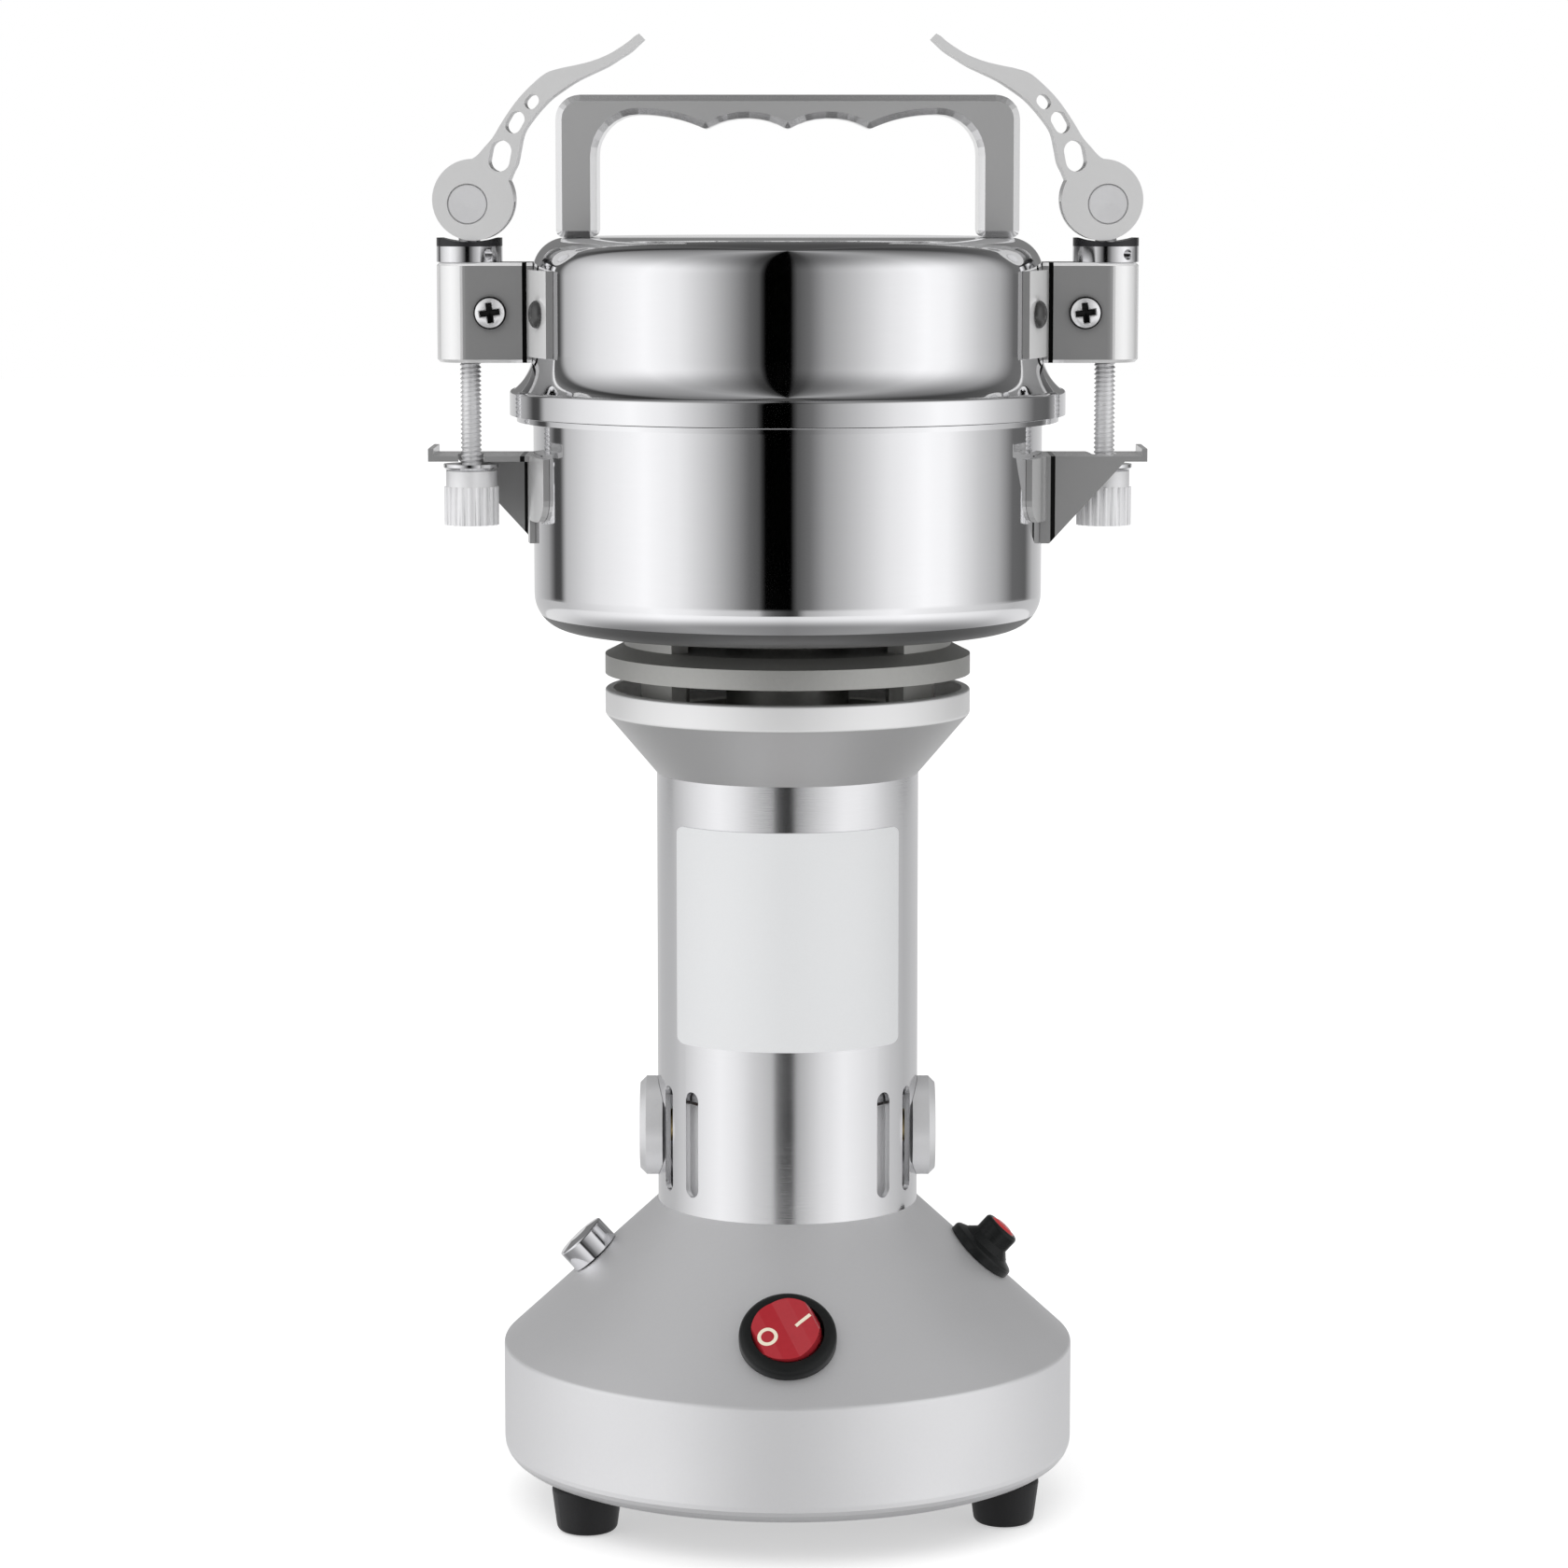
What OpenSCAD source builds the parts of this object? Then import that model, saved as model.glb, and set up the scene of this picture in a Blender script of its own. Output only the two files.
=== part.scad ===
// Electric coffee grinder: a steel cone base with a motor barrel, a grinding bowl held by a cast
// carrier, and a clamped lid with a carrying handle and two cam levers.
// The origin is on the ground at the middle of the base, +Z is up, and the switch faces -Y.

/* [Base] */
// Outside diameter of the base drum
base_d = 127; // [122:1:134]
// Ground clearance under the rim of the base
rim_clear = 10.3; // [9.5:0.1:12]
// Height of the straight band of the base
band_h = 25.7; // [23:0.1:30]
// Height of the cone between the band and the barrel
cone_h = 32; // [30:0.5:36]
// Sheet thickness of the base
base_wall = 1.5; // [1.2:0.1:2]
// Radius of the rolled bottom edge
rim_fillet = 4; // [3:0.1:5]
// Width of the lip turned in under the base
lip_w = 5; // [4.6:0.1:6]
// Radius of the ridge between band and cone
ridge_fillet = 1.2; // [0.6:0.1:2]
// Thickness of the bottom plate
plate_t = 1.5; // [1:0.1:2.5]

/* [Feet] */
// Top diameter of a rubber foot
foot_d = 15.6; // [12:0.1:16]
// Bottom diameter of a rubber foot
foot_tip_d = 13; // [10:0.1:14]
// Distance of the feet's middles from the edge of the base
foot_inset = 10.5; // [10.5:0.5:14]

/* [Motor barrel] */
// Outside diameter of the barrel
barrel_d = 57.8; // [56.5:0.1:60]
// Length of the barrel
barrel_h = 96; // [94:1:110]
// Wall of the barrel
barrel_wall = 1.2; // [0.8:0.1:1.5]
// Width of a vent slot
slot_w = 4; // [3:0.1:5]
// Height of a vent slot
slot_h = 23.5; // [18:0.5:24]
// Height of the slots above the foot of the barrel
slot_rise = 4; // [3:0.1:6]
// Height of the brush axis above the foot of the barrel
brush_rise = 16.3; // [16:0.1:17]
// Diameter of a brush boss
boss_d = 22; // [18:0.5:23]
// How far a brush boss stands out of the barrel
boss_out = 3.9; // [3:0.1:5]
// Height of the bare label plate
label_h = 48; // [30:1:52]
// Height of the label plate above the foot of the barrel
label_rise = 38; // [34:0.5:42]

/* [Collar and carrier] */
// Outside diameter of the collar rim
collar_d = 80.4; // [78:0.2:84]
// Height of the collar's flare
flare_h = 13.3; // [12:0.1:15]
// Height of the collar's rim band
collar_rim_h = 5.5; // [4:0.1:8]
// Open height between the collar and the carrier disc
neck_gap = 3.3; // [2:0.1:6]
// Height of the carrier disc
disc_h = 4.3; // [3:0.1:6]
// Height of the chamfer on top of the disc
disc_chamfer = 2.1; // [1:0.1:3]
// Height of the pads between the disc and the bowl
pad_h = 3.4; // [2:0.1:5]
// Outside diameter of the carrier's lower wall
post_d = 64.6; // [62:0.2:66]

/* [Bowl and lid] */
// Outside diameter of the bowl and the lid
bowl_d = 111.4; // [106:0.2:112]
// Height of the bowl up to its flange
bowl_h = 45.6; // [40:0.2:60]
// Corner radius at the foot of the bowl
bowl_corner = 8; // [6:0.5:12]
// Wall of the bowl and the lid
bowl_wall = 1.2; // [0.8:0.1:1.5]
// Diameter of the flange round the bowl
flange_d = 118.6; // [117:0.2:118.8]
// Outside diameter of the lid's skirt
skirt_d = 121.6; // [121:0.2:124]
// Height of the lid's skirt
skirt_h = 5.5; // [4.8:0.1:8]
// Height of the hollow flare from the skirt to the wall of the lid
lid_flare_h = 8.5; // [7:0.1:12]
// Height of the lid from the skirt's lower edge to its top
lid_h = 38.4; // [37:0.2:46]
// Corner radius on top of the lid
lid_corner = 7.6; // [5:0.1:9]

/* [Handle] */
// Half width of the handle
handle_half = 50.1; // [48:0.1:51]
// Height of the handle above the lid
handle_h = 30.6; // [30:0.2:31]
// Depth of the handle
handle_depth = 20; // [16:0.5:24]
// Width of a leg
leg_w = 8.9; // [8:0.1:10]
// Bevel round the front and back faces
bevel = 1.4; // [0.8:0.1:1.8]
// Distance between the finger cusps
finger_pitch = 17.66; // [16.5:0.1:18.5]

/* [Latches] */
// Distance from the middle of the grinder to a clamp bolt
latch_r = 69.4; // [69.2:0.1:71]
// Diameter of a clamp bolt
bolt_d = 4.7; // [4.4:0.1:5]
// Radius of the cam disc of a lever
cam_r = 8.8; // [8.6:0.1:9.2]
// Eccentricity of the cam disc
cam_throw = 1.5; // [1:0.1:1.6]
// Width of a lever
lever_w = 13; // [12:0.2:14]
// Reach of a lever from its cam disc to its tip
lever_reach = 37.6; // [36:0.2:39]
// Rise of a lever from its cam disc to its tip
lever_rise = 36; // [34.6:0.2:37]
// Width that the holes of a lever's arm are sized by
arm_w = 5; // [4.6:0.1:5.4]
// Height of the strap that holds a bolt
strap_h = 21.7; // [18:0.1:24]
// Outer radius of the strap's bend, the collar and the washer
strap_r = 7.2; // [7.1:0.1:7.4]
// Thickness of the strap
strap_t = 1.4; // [1:0.1:1.5]
// Height of the hook shelf above the foot of the bowl
shelf_rise = 38.2; // [34:0.1:39]
// Thickness of the hook bracket
hook_t = 1.2; // [1:0.05:1.5]
// Outer radius of a thumb nut
nut_r = 6; // [5.8:0.1:6.6]

/* [Controls] */
// Outside diameter of the switch bezel
bezel_d = 21; // [20:0.1:22]
// Diameter of the rocker
rocker_d = 14.8; // [13:0.1:15.2]
// Tilt of the rocker from its middle to either end
rocker_tilt = 9; // [6:1:10]
// Turn of the O to I line from the level
mark_turn = 24; // [0:1:40]
// Diameter of the fuse cap
fuse_cap_d = 11.8; // [11:0.1:13]
// Height of the fuse cap
fuse_cap_h = 5.4; // [4:0.1:7]
// Flange diameter of the reset nut
reset_d = 16.2; // [15:0.1:18]
// Travel of the reset button when it trips
reset_travel = 3; // [1:0.5:4]
// Bore of the cord bush
cord_bore_d = 6.8; // [5:0.1:8]

/* [Motor and blades] */
// Diameter of the motor shaft
shaft_d = 8; // [7:0.1:8.4]
// Diameter of the armature
armature_d = 32.4; // [30:0.2:33]
// Running gap between armature and stator
air_gap = 0.6; // [0.4:0.1:1]
// Outside diameter of a ball bearing
bearing_d = 22; // [20:0.5:23]
// Width of a ball bearing
bearing_h = 7; // [6:0.5:7]
// Diameter of the commutator
commutator_d = 20; // [18:0.5:20]
// Diameter of the cooling fan
fan_d = 50; // [44:1:51]
// Radius of the lower blade
blade_r = 44; // [36:1:46]
// Thickness of a blade
blade_t = 1.8; // [1.2:0.1:2.5]

/* [Hidden] */
$fn = 64;

// Clearances: pieces at rest on each other, moving curved faces, running fits, and cuts' overrun
seat = 0.05;
gap = 0.3;
run = 0.07;
over = 0.6;
// Points along one rounded corner of an outline
arc_steps = 6;

// Radii
base_r = base_d / 2;
barrel_r = barrel_d / 2;
barrel_in = barrel_r - barrel_wall;
collar_r = collar_d / 2;
post_r = post_d / 2;
bowl_r = bowl_d / 2;
bowl_in = bowl_r - bowl_wall;
flange_r = flange_d / 2;
skirt_r = skirt_d / 2;
foot_ring_r = base_r - foot_inset;
bolt_r = bolt_d / 2;
shaft_r = shaft_d / 2;
bearing_r = bearing_d / 2;

// Heights, from the ground up
z_rim = rim_clear;
z_plate = z_rim + base_wall;
z_band = z_rim + band_h;
z_cone = z_band + cone_h;
z_barrel = z_cone + barrel_h;
z_flare = z_barrel + flare_h;
z_collar = z_flare + collar_rim_h;
z_disc = z_collar + neck_gap;
z_pad = z_disc + disc_h + disc_chamfer;
z_bowl = z_pad + pad_h;
flange_t = 1.5;
z_flange = z_bowl + bowl_h;
z_bowl_top = z_flange + flange_t;
z_skirt = z_bowl_top - seat * 2;
z_skirt_top = z_skirt + skirt_h;
z_lid = z_skirt + lid_h;
z_handle = z_lid + handle_h;

// Slope of the base cone: outward normal and the tilt that lays +Z along it
cone_run = base_r - barrel_r;
cone_len = norm([cone_run, cone_h]);
cone_nr = cone_h / cone_len;
cone_nz = cone_run / cone_len;
cone_tilt = atan2(cone_nr, cone_nz);
function cone_z(r) = z_band + (base_r - r) * cone_h / cone_run;
function cone_r(z, inset) = base_r - (inset + (z - z_band) * cone_nz) / cone_nr;

// Everything under the cone's surface, this far inside it
module cone_body(inset) translate([0, 0, z_band])
    cylinder(r1 = cone_r(z_band, inset), r2 = cone_r(z_cone, inset), h = cone_h);

// Rounds the corner q between p and s
function unit(v) = v / norm(v);
function corner(p, q, s, r) = let (
    u = unit(p - q),
    w = unit(s - q),
    half = acos(u * w) / 2,
    c = q + unit(u + w) * r / sin(half),
    t0 = q + u * r / tan(half) - c,
    t1 = q + w * r / tan(half) - c,
    a0 = atan2(t0.y, t0.x),
    turn = (atan2(t1.y, t1.x) - a0 + 540) % 360 - 180
) [for (i = [0:arc_steps]) c + r * [cos(a0 + turn * i / arc_steps), sin(a0 + turn * i / arc_steps)]];

// A closed outline from [x, y, corner radius] entries
function outline(p) = [for (i = [0:len(p) - 1]) let (
    a = p[(i + len(p) - 1) % len(p)],
    q = p[i],
    b = p[(i + 1) % len(p)]
) each q[2] > 0 ? corner([a[0], a[1]], [q[0], q[1]], [b[0], b[1]], q[2]) : [[q[0], q[1]]]];

function arc(c, r, a0, a1, steps) =
    [for (i = [0:steps]) c + r * [cos(a0 + (a1 - a0) * i / steps), sin(a0 + (a1 - a0) * i / steps)]];

// A smooth line through stations of any length, with this many steps between two of them
line_steps = 4;
function smooth(p) = [for (i = [0:len(p) - 2]) let (
    a = p[max(i - 1, 0)],
    b = p[i],
    c = p[i + 1],
    d = p[min(i + 2, len(p) - 1)]
) for (k = [0:line_steps - 1]) let (t = k / line_steps)
    b + (c - a) / 2 * t + (2 * a - 5 * b + 4 * c - d) / 2 * t * t + (3 * b - 3 * c + d - a) / 2 * t * t * t,
    p[len(p) - 1]];

// Repeated shapes
module tube(r, bore, h) difference() {
    cylinder(r = r, h = h);
    translate([0, 0, -over]) cylinder(r = bore, h = h + 2 * over);
}
module block(x0, x1, y0, y1, z0, z1) translate([x0, y0, z0]) cube([x1 - x0, y1 - y0, z1 - z0]);
module revolve(p) rotate_extrude() polygon(outline(p));
module along_y(y, r, h) translate([0, y, 0]) rotate([-90, 0, 0]) cylinder(r = r, h = h);
module around(n, first = 0) for (i = [0:n - 1]) rotate([0, 0, first + i * 360 / n]) children();
module mirrored_x() for (s = [0, 180]) rotate([0, 0, s]) children();
// Stands on the cone at a bearing, with +Z along the cone's outward normal
module on_cone(bearing, r) rotate([0, 0, bearing]) translate([r, 0, cone_z(r)])
    rotate([0, cone_tilt, 0]) children();
// At the left or right latch, with +X towards the middle of the grinder
module at_latch(right) rotate([0, 0, right ? 180 : 0]) translate([-latch_r, 0, 0]) children();

// Places of the controls on the cone, as shares of the way from the band to the barrel
switch_share = 0.373;
fuse_share = 0.595;
reset_share = 0.598;
cord_share = 0.347;
switch_at = base_r - switch_share * cone_run;
fuse_at = base_r - fuse_share * cone_run;
reset_at = base_r - reset_share * cone_run;
cord_at = base_r - cord_share * cone_run;
FRONT = -90;
LEFT = 180;
RIGHT = 0;
BACK = 90;

// Base
lip_r = base_r - lip_w;
plate_seat_r = base_r - rim_fillet - seat * 2;
barrel_floor_r = 23;
switch_body_r = bezel_d / 2 - 0.8 * base_wall;
fuse_body_r = fuse_cap_d / 2 - base_wall / 2;
reset_thread_r = reset_d / 4;
bush_neck_r = cord_bore_d / 2 + 2 * base_wall;
screw_r = 2;
screw_head_r = 3.6;
screw_head_h = 2.2;
foot_start = 94;
tab_t = 2;
tab_w = 14;
z_tab = z_plate + plate_t;

module base_shell() color("#a9a9ab") difference() {
    union() {
        revolve([
            [lip_r, z_rim, 0],
            [base_r, z_rim, rim_fillet],
            [base_r, z_band, ridge_fillet],
            [barrel_r, z_cone, 0],
            [barrel_floor_r, z_cone, 0],
            [barrel_floor_r, z_cone - base_wall, 0],
            [cone_r(z_cone - base_wall, base_wall), z_cone - base_wall, 0],
            [base_r - base_wall, z_band - base_wall * (1 - cone_nr) / cone_nz, 0],
            [base_r - base_wall, z_plate, rim_fillet - base_wall],
            [lip_r, z_plate, 0]
        ]);
        around(3, foot_start) intersection() {
            block(foot_ring_r - foot_d / 2, base_r, -tab_w / 2, tab_w / 2, z_tab, z_tab + tab_t);
            translate([0, 0, z_tab]) cylinder(r = base_r - base_wall / 2, h = tab_t);
        }
    }
    around(3, foot_start) translate([foot_ring_r, 0, z_tab - over])
        cylinder(r = screw_r + seat, h = tab_t + 2 * over);
    on_cone(FRONT, switch_at) translate([0, 0, -base_wall - over])
        cylinder(r = switch_body_r + seat, h = base_wall + 2 * over);
    on_cone(LEFT, fuse_at) translate([0, 0, -base_wall - over])
        cylinder(r = fuse_body_r + seat, h = base_wall + 2 * over);
    on_cone(RIGHT, reset_at) translate([0, 0, -base_wall - over])
        cylinder(r = reset_thread_r + seat, h = base_wall + 2 * over);
    on_cone(BACK, cord_at) translate([0, 0, -base_wall - over])
        cylinder(r = bush_neck_r + seat, h = base_wall + 2 * over);
}

// Air holes in the bottom plate
air_hole_d = 6;
air_ring_share = 0.45;
air_holes = 12;

module bottom_plate() color("#4a4a4c") difference() {
    translate([0, 0, z_plate]) cylinder(r = plate_seat_r, h = plate_t);
    around(3, foot_start) translate([foot_ring_r, 0, z_plate - over])
        cylinder(r = screw_r + seat, h = plate_t + 2 * over);
    around(air_holes) translate([base_r * air_ring_share, 0, z_plate - over])
        cylinder(d = air_hole_d, h = plate_t + 2 * over);
}

// Rubber foot: a tapered cup with a neck up to the plate and a deep recess for its screw
foot_fillet = 1.6;
foot_neck_r = 5.2;
foot_recess = 3.5;

module rubber_feet() color("#141414") around(3, foot_start) translate([foot_ring_r, 0, 0])
    difference() {
        revolve([
            [0, 0, 0],
            [foot_tip_d / 2, 0, foot_fillet],
            [foot_d / 2, z_rim - gap, foot_fillet / 2],
            [foot_neck_r, z_rim - gap, 0],
            [foot_neck_r, z_plate, 0],
            [0, z_plate, 0]
        ]);
        translate([0, 0, -over]) cylinder(r = screw_r + seat, h = z_plate + 2 * over);
        translate([0, 0, -over]) cylinder(r = screw_head_r + seat, h = foot_recess + screw_head_h + over);
    }

module screw(length) {
    translate([0, 0, -screw_head_h]) cylinder(r = screw_head_r, h = screw_head_h);
    cylinder(r = screw_r, h = length);
}

module foot_screws() color("#b8b8ba") around(3, foot_start)
    translate([foot_ring_r, 0, foot_recess + screw_head_h])
        screw(z_tab + tab_t * 2 - foot_recess - screw_head_h);

// Rocker switch
bezel_h = 3;
bezel_round_share = 0.6;
rocker_clear = 0.45;
switch_bore_r = rocker_d / 2 + rocker_clear;
skirt_drop = 1.5;
terminal_share = 0.6;
switch_depth = 12;
floor_t = 1.5;
trunnion_r = 1;
pivot_h = 0.6;
rocker_top = 3.9;
rocker_foot = 2.4;
blade_terminal_w = 6.3;
blade_terminal_t = 0.8;
blade_terminal_h = 8;

module switch_frame() on_cone(FRONT, switch_at) rotate([0, 0, 90 + mark_turn]) children();

module switch_housing() color("#262828") difference() {
    union() {
        difference() {
            switch_frame() revolve([
                [0, -skirt_drop, 0],
                [bezel_d / 2, -skirt_drop, 0],
                [bezel_d / 2, bezel_h, bezel_h * bezel_round_share],
                [0, bezel_h, 0]
            ]);
            cone_body(-seat);
        }
        switch_frame() {
            translate([0, 0, -switch_depth]) cylinder(r = switch_body_r, h = switch_depth + bezel_h / 2);
            for (s = [-1:1])
                translate([s * switch_body_r * terminal_share, 0, -switch_depth - blade_terminal_h / 2])
                    cube([blade_terminal_t, blade_terminal_w, blade_terminal_h + 2 * seat], center = true);
        }
    }
    switch_frame() {
        translate([0, 0, floor_t - switch_depth])
            cylinder(r = switch_bore_r, h = switch_depth + bezel_h + over);
        translate([0, 0, pivot_h])
            along_y(-bezel_d / 2 + 1.5 * floor_t, trunnion_r + run, bezel_d - 3 * floor_t);
    }
}

// The rocker is a shallow V across its pivot, pressed down at its O end
module rocker() color("#b03038") switch_frame() translate([0, 0, pivot_h])
    rotate([0, -rocker_tilt, 0]) {
        intersection() {
            translate([0, 0, -rocker_foot]) cylinder(d = rocker_d, h = rocker_top + rocker_foot);
            along_y(-rocker_d / 2, rocker_d / 2 + seat, rocker_d);
            for (s = [0, 180]) rotate([0, 0, s]) rotate([0, rocker_tilt, 0])
                block(-rocker_d, rocker_d, -rocker_d, rocker_d, -rocker_d, rocker_top * 0.85);
        }
        along_y(-bezel_d / 2 + 2 * floor_t, trunnion_r, bezel_d - 4 * floor_t);
    }

// Overload breaker: threaded neck through the cone, nut outside, body and button inside
breaker_body = 15;
breaker_depth = 20;
reset_neck_r = 4.3;
reset_flange_t = 1.7;
reset_top = 8.1;
button_r = 3.1;
button_dome = 0.5;
neck_wall_bottom = 2.6;
rib_count = 24;
rib_r = 0.35;
// The button rests this deep, with its travel left free under it
button_deep = base_wall + breaker_depth / 2 - reset_travel;

module reset_frame() on_cone(RIGHT, reset_at) children();

module overload_breaker() color("#1c1c1e") difference() {
    union() {
        intersection() {
            reset_frame() translate([0, 0, -base_wall - breaker_depth / 2])
                cube([breaker_body, breaker_body, breaker_depth], center = true);
            cone_body(base_wall + seat);
        }
        reset_frame() translate([0, 0, -base_wall - skirt_drop])
            cylinder(r = reset_thread_r, h = base_wall + skirt_drop + reset_flange_t);
    }
    reset_frame() translate([0, 0, -base_wall - breaker_depth / 2])
        cylinder(r = button_r + run, h = breaker_depth);
}

module reset_nut() color("#1a1a1c") difference() {
    reset_frame() {
        revolve([
            [0, -skirt_drop, 0],
            [reset_d / 2, -skirt_drop, 0],
            [reset_d / 2, reset_flange_t, 0.5 * reset_flange_t],
            [reset_neck_r + reset_flange_t, neck_wall_bottom, 0],
            [reset_neck_r, neck_wall_bottom + reset_flange_t, 0],
            [reset_neck_r, reset_top, reset_neck_r / 5],
            [0, reset_top, 0]
        ]);
        around(rib_count) translate([reset_neck_r + reset_flange_t * 0.6, 0, reset_flange_t / 2])
            cylinder(r = rib_r, h = reset_flange_t * 1.3);
    }
    cone_body(-seat);
    reset_frame() translate([0, 0, -skirt_drop - over]) {
        cylinder(r = button_r + run, h = reset_top + skirt_drop + 2 * over);
        cylinder(r = reset_thread_r + seat, h = over + skirt_drop + reset_flange_t + seat);
    }
}

module reset_button() color("#b3202c") reset_frame() revolve([
    [0, -button_deep, 0],
    [button_r, -button_deep, 0],
    [button_r, reset_top, 0],
    [button_r * 0.6, reset_top + button_dome * 0.8, 0],
    [0, reset_top + button_dome, 0]
]);

// Fuse holder with a bayonet cap and a glass fuse
fuse_r = 2.6;
fuse_len = 20;
fuse_wall = 1.2;
holder_depth = 26;
cap_stem_r = fuse_body_r - fuse_wall - run;
cap_stem = 5;
cap_gap = 0.15;
cap_dome = 0.5;

module fuse_frame() on_cone(LEFT, fuse_at) children();

module fuse_holder() color("#2a2a2c") fuse_frame() difference() {
    translate([0, 0, -holder_depth]) cylinder(r = fuse_body_r, h = holder_depth);
    translate([0, 0, -cap_stem - fuse_len - seat])
        cylinder(r = fuse_r + seat, h = fuse_len + cap_stem);
    translate([0, 0, -cap_stem - seat]) cylinder(r = cap_stem_r + run, h = cap_stem + over);
}

module fuse() color("#d8d8d0") fuse_frame() translate([0, 0, -cap_stem - fuse_len])
    cylinder(r = fuse_r, h = fuse_len - seat);

module fuse_cap() color("#cfcfd2") fuse_frame() {
    revolve([
        [0, cap_gap, 0],
        [fuse_cap_d / 2, cap_gap, 0],
        [fuse_cap_d / 2, fuse_cap_h, cap_dome],
        [fuse_cap_d / 5, fuse_cap_h + cap_dome, 0],
        [0, fuse_cap_h + cap_dome, 0]
    ]);
    translate([0, 0, -cap_stem]) cylinder(r = cap_stem_r, h = cap_stem + 2 * cap_gap);
}

// Cord bush at the back, where the mains lead goes in
bush_flange_h = 2.5;
bush_depth = 9;

module cord_frame() on_cone(BACK, cord_at) children();

module cord_bush() color("#18181a") difference() {
    union() {
        difference() {
            cord_frame() revolve([
                [0, -skirt_drop, 0],
                [bush_neck_r + base_wall, -skirt_drop, 0],
                [bush_neck_r + base_wall, bush_flange_h, base_wall],
                [0, bush_flange_h, 0]
            ]);
            cone_body(-seat);
        }
        intersection() {
            cord_frame() translate([0, 0, -base_wall - bush_flange_h])
                cylinder(r = bush_neck_r + base_wall, h = bush_flange_h);
            cone_body(base_wall + seat);
        }
        cord_frame() translate([0, 0, -bush_depth])
            cylinder(r = bush_neck_r, h = bush_depth + bush_flange_h / 2);
    }
    cord_frame() translate([0, 0, -bush_depth - over])
        cylinder(d = cord_bore_d, h = bush_depth + bush_flange_h + 2 * over);
}

// Motor barrel with vent slots either side of the front and the back
slot_bearings = [46.6, 65];
z_slot = z_cone + slot_rise;
z_brush = z_cone + brush_rise;
boss_hole_share = 0.7;
boss_hole_r = boss_d / 2 * boss_hole_share;

module vent_slot() {
    translate([0, 0, z_slot + slot_w / 2]) along_y(0, slot_w / 2, barrel_r + over);
    translate([0, 0, z_slot + slot_h - slot_w / 2]) along_y(0, slot_w / 2, barrel_r + over);
    block(-slot_w / 2, slot_w / 2, 0, barrel_r + over, z_slot + slot_w / 2, z_slot + slot_h - slot_w / 2);
}

module barrel() color("#b4b4b6") difference() {
    translate([0, 0, z_cone]) tube(barrel_r, barrel_in, barrel_h);
    for (half = [0, 180], a = slot_bearings, side = [-1, 1]) rotate([0, 0, half + side * a]) vent_slot();
    mirrored_x() translate([0, 0, z_brush]) rotate([0, 90, 0])
        cylinder(r = boss_hole_r, h = barrel_r + over);
}

label_t = 0.35;
label_bearing = 57;
label_fillet = 1.6;
label_half = barrel_r * sin(label_bearing);
z_label = z_cone + label_rise;

module label_plate() color("#e4e4e6") intersection() {
    translate([0, 0, z_label]) tube(barrel_r + seat + label_t, barrel_r + seat, label_h);
    rotate([90, 0, 0]) linear_extrude(barrel_r * 2) polygon(outline([
        [-label_half, z_label, label_fillet],
        [label_half, z_label, label_fillet],
        [label_half, z_label + label_h, label_fillet],
        [-label_half, z_label + label_h, label_fillet]
    ]));
}

// Brush gear: moulded boss, screw cap, brass tube, spring and carbon, one set each side
commutator_r = commutator_d / 2;
brush_r = 2.6;
brush_len = 9;
brush_tube_r = 3.6;
brush_cap_r = 5.4;
cap_slot_w = 1.2;
boss_face = barrel_r + boss_out;
brush_face = commutator_r + gap;
tube_set_back = 2;
tube_in = brush_face + tube_set_back;
tube_out = barrel_in - seat;
boss_spigot = 1.5;

module brush_frame() mirrored_x() translate([0, 0, z_brush]) rotate([0, 90, 0]) children();

module brush_bosses() color("#2b2b2d") difference() {
    brush_frame() {
        translate([0, 0, barrel_in - boss_spigot])
            cylinder(r = boss_hole_r - seat, h = boss_out + boss_spigot);
        translate([0, 0, barrel_in]) cylinder(r = boss_d / 2, h = boss_face - barrel_in - bevel);
        translate([0, 0, boss_face - bevel])
            cylinder(r1 = boss_d / 2, r2 = boss_d / 2 - bevel, h = bevel);
    }
    difference() {
        translate([0, 0, z_cone]) cylinder(r = barrel_r + seat, h = barrel_h);
        brush_frame() cylinder(r = boss_hole_r - seat, h = boss_face);
    }
    brush_frame() cylinder(r = brush_cap_r + seat, h = boss_face + over);
}

module brush_caps() color("#1d1d1f") brush_frame() difference() {
    translate([0, 0, barrel_in]) cylinder(r = brush_cap_r, h = boss_face - barrel_in - cap_slot_w / 2);
    translate([0, 0, boss_face]) cube([brush_cap_r * 1.7, cap_slot_w, cap_slot_w * 2.4], center = true);
}

module brush_tubes() color("#c9a24c") brush_frame() translate([0, 0, tube_in])
    tube(brush_tube_r, brush_r + seat, tube_out - tube_in);

module carbon_brushes() color("#303032") difference() {
    brush_frame() translate([0, 0, commutator_r - brush_r]) cylinder(r = brush_r, h = brush_len + brush_r);
    translate([0, 0, z_brush - brush_r * 2]) cylinder(r = brush_face, h = brush_r * 4);
}

module brush_springs() color("#b9b9bb") brush_frame() translate([0, 0, commutator_r + brush_len + seat])
    tube(brush_r, brush_r / 2, tube_out - commutator_r - brush_len - 2 * seat);

// Stator: a laminated ring with two poles and a coil round each
stator_rise = 25;
stator_h = 48.5;
stator_r = barrel_in - gap;
stator_in = armature_d / 2 + air_gap;
z_stator = z_cone + stator_rise;
pole_face_t = 1.3;
coil_t = 5;
coil_in = stator_in + pole_face_t;
coil_out = coil_in + coil_t;
coil_half = 62;
pole_half = 42;
coil_end = 4.4;
coil_slack = 1;

module sector(r0, r1, half, z, h) translate([0, 0, z]) rotate([0, 0, 90 - half])
    rotate_extrude(angle = 2 * half) translate([r0, 0]) square([r1 - r0, h]);

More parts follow.
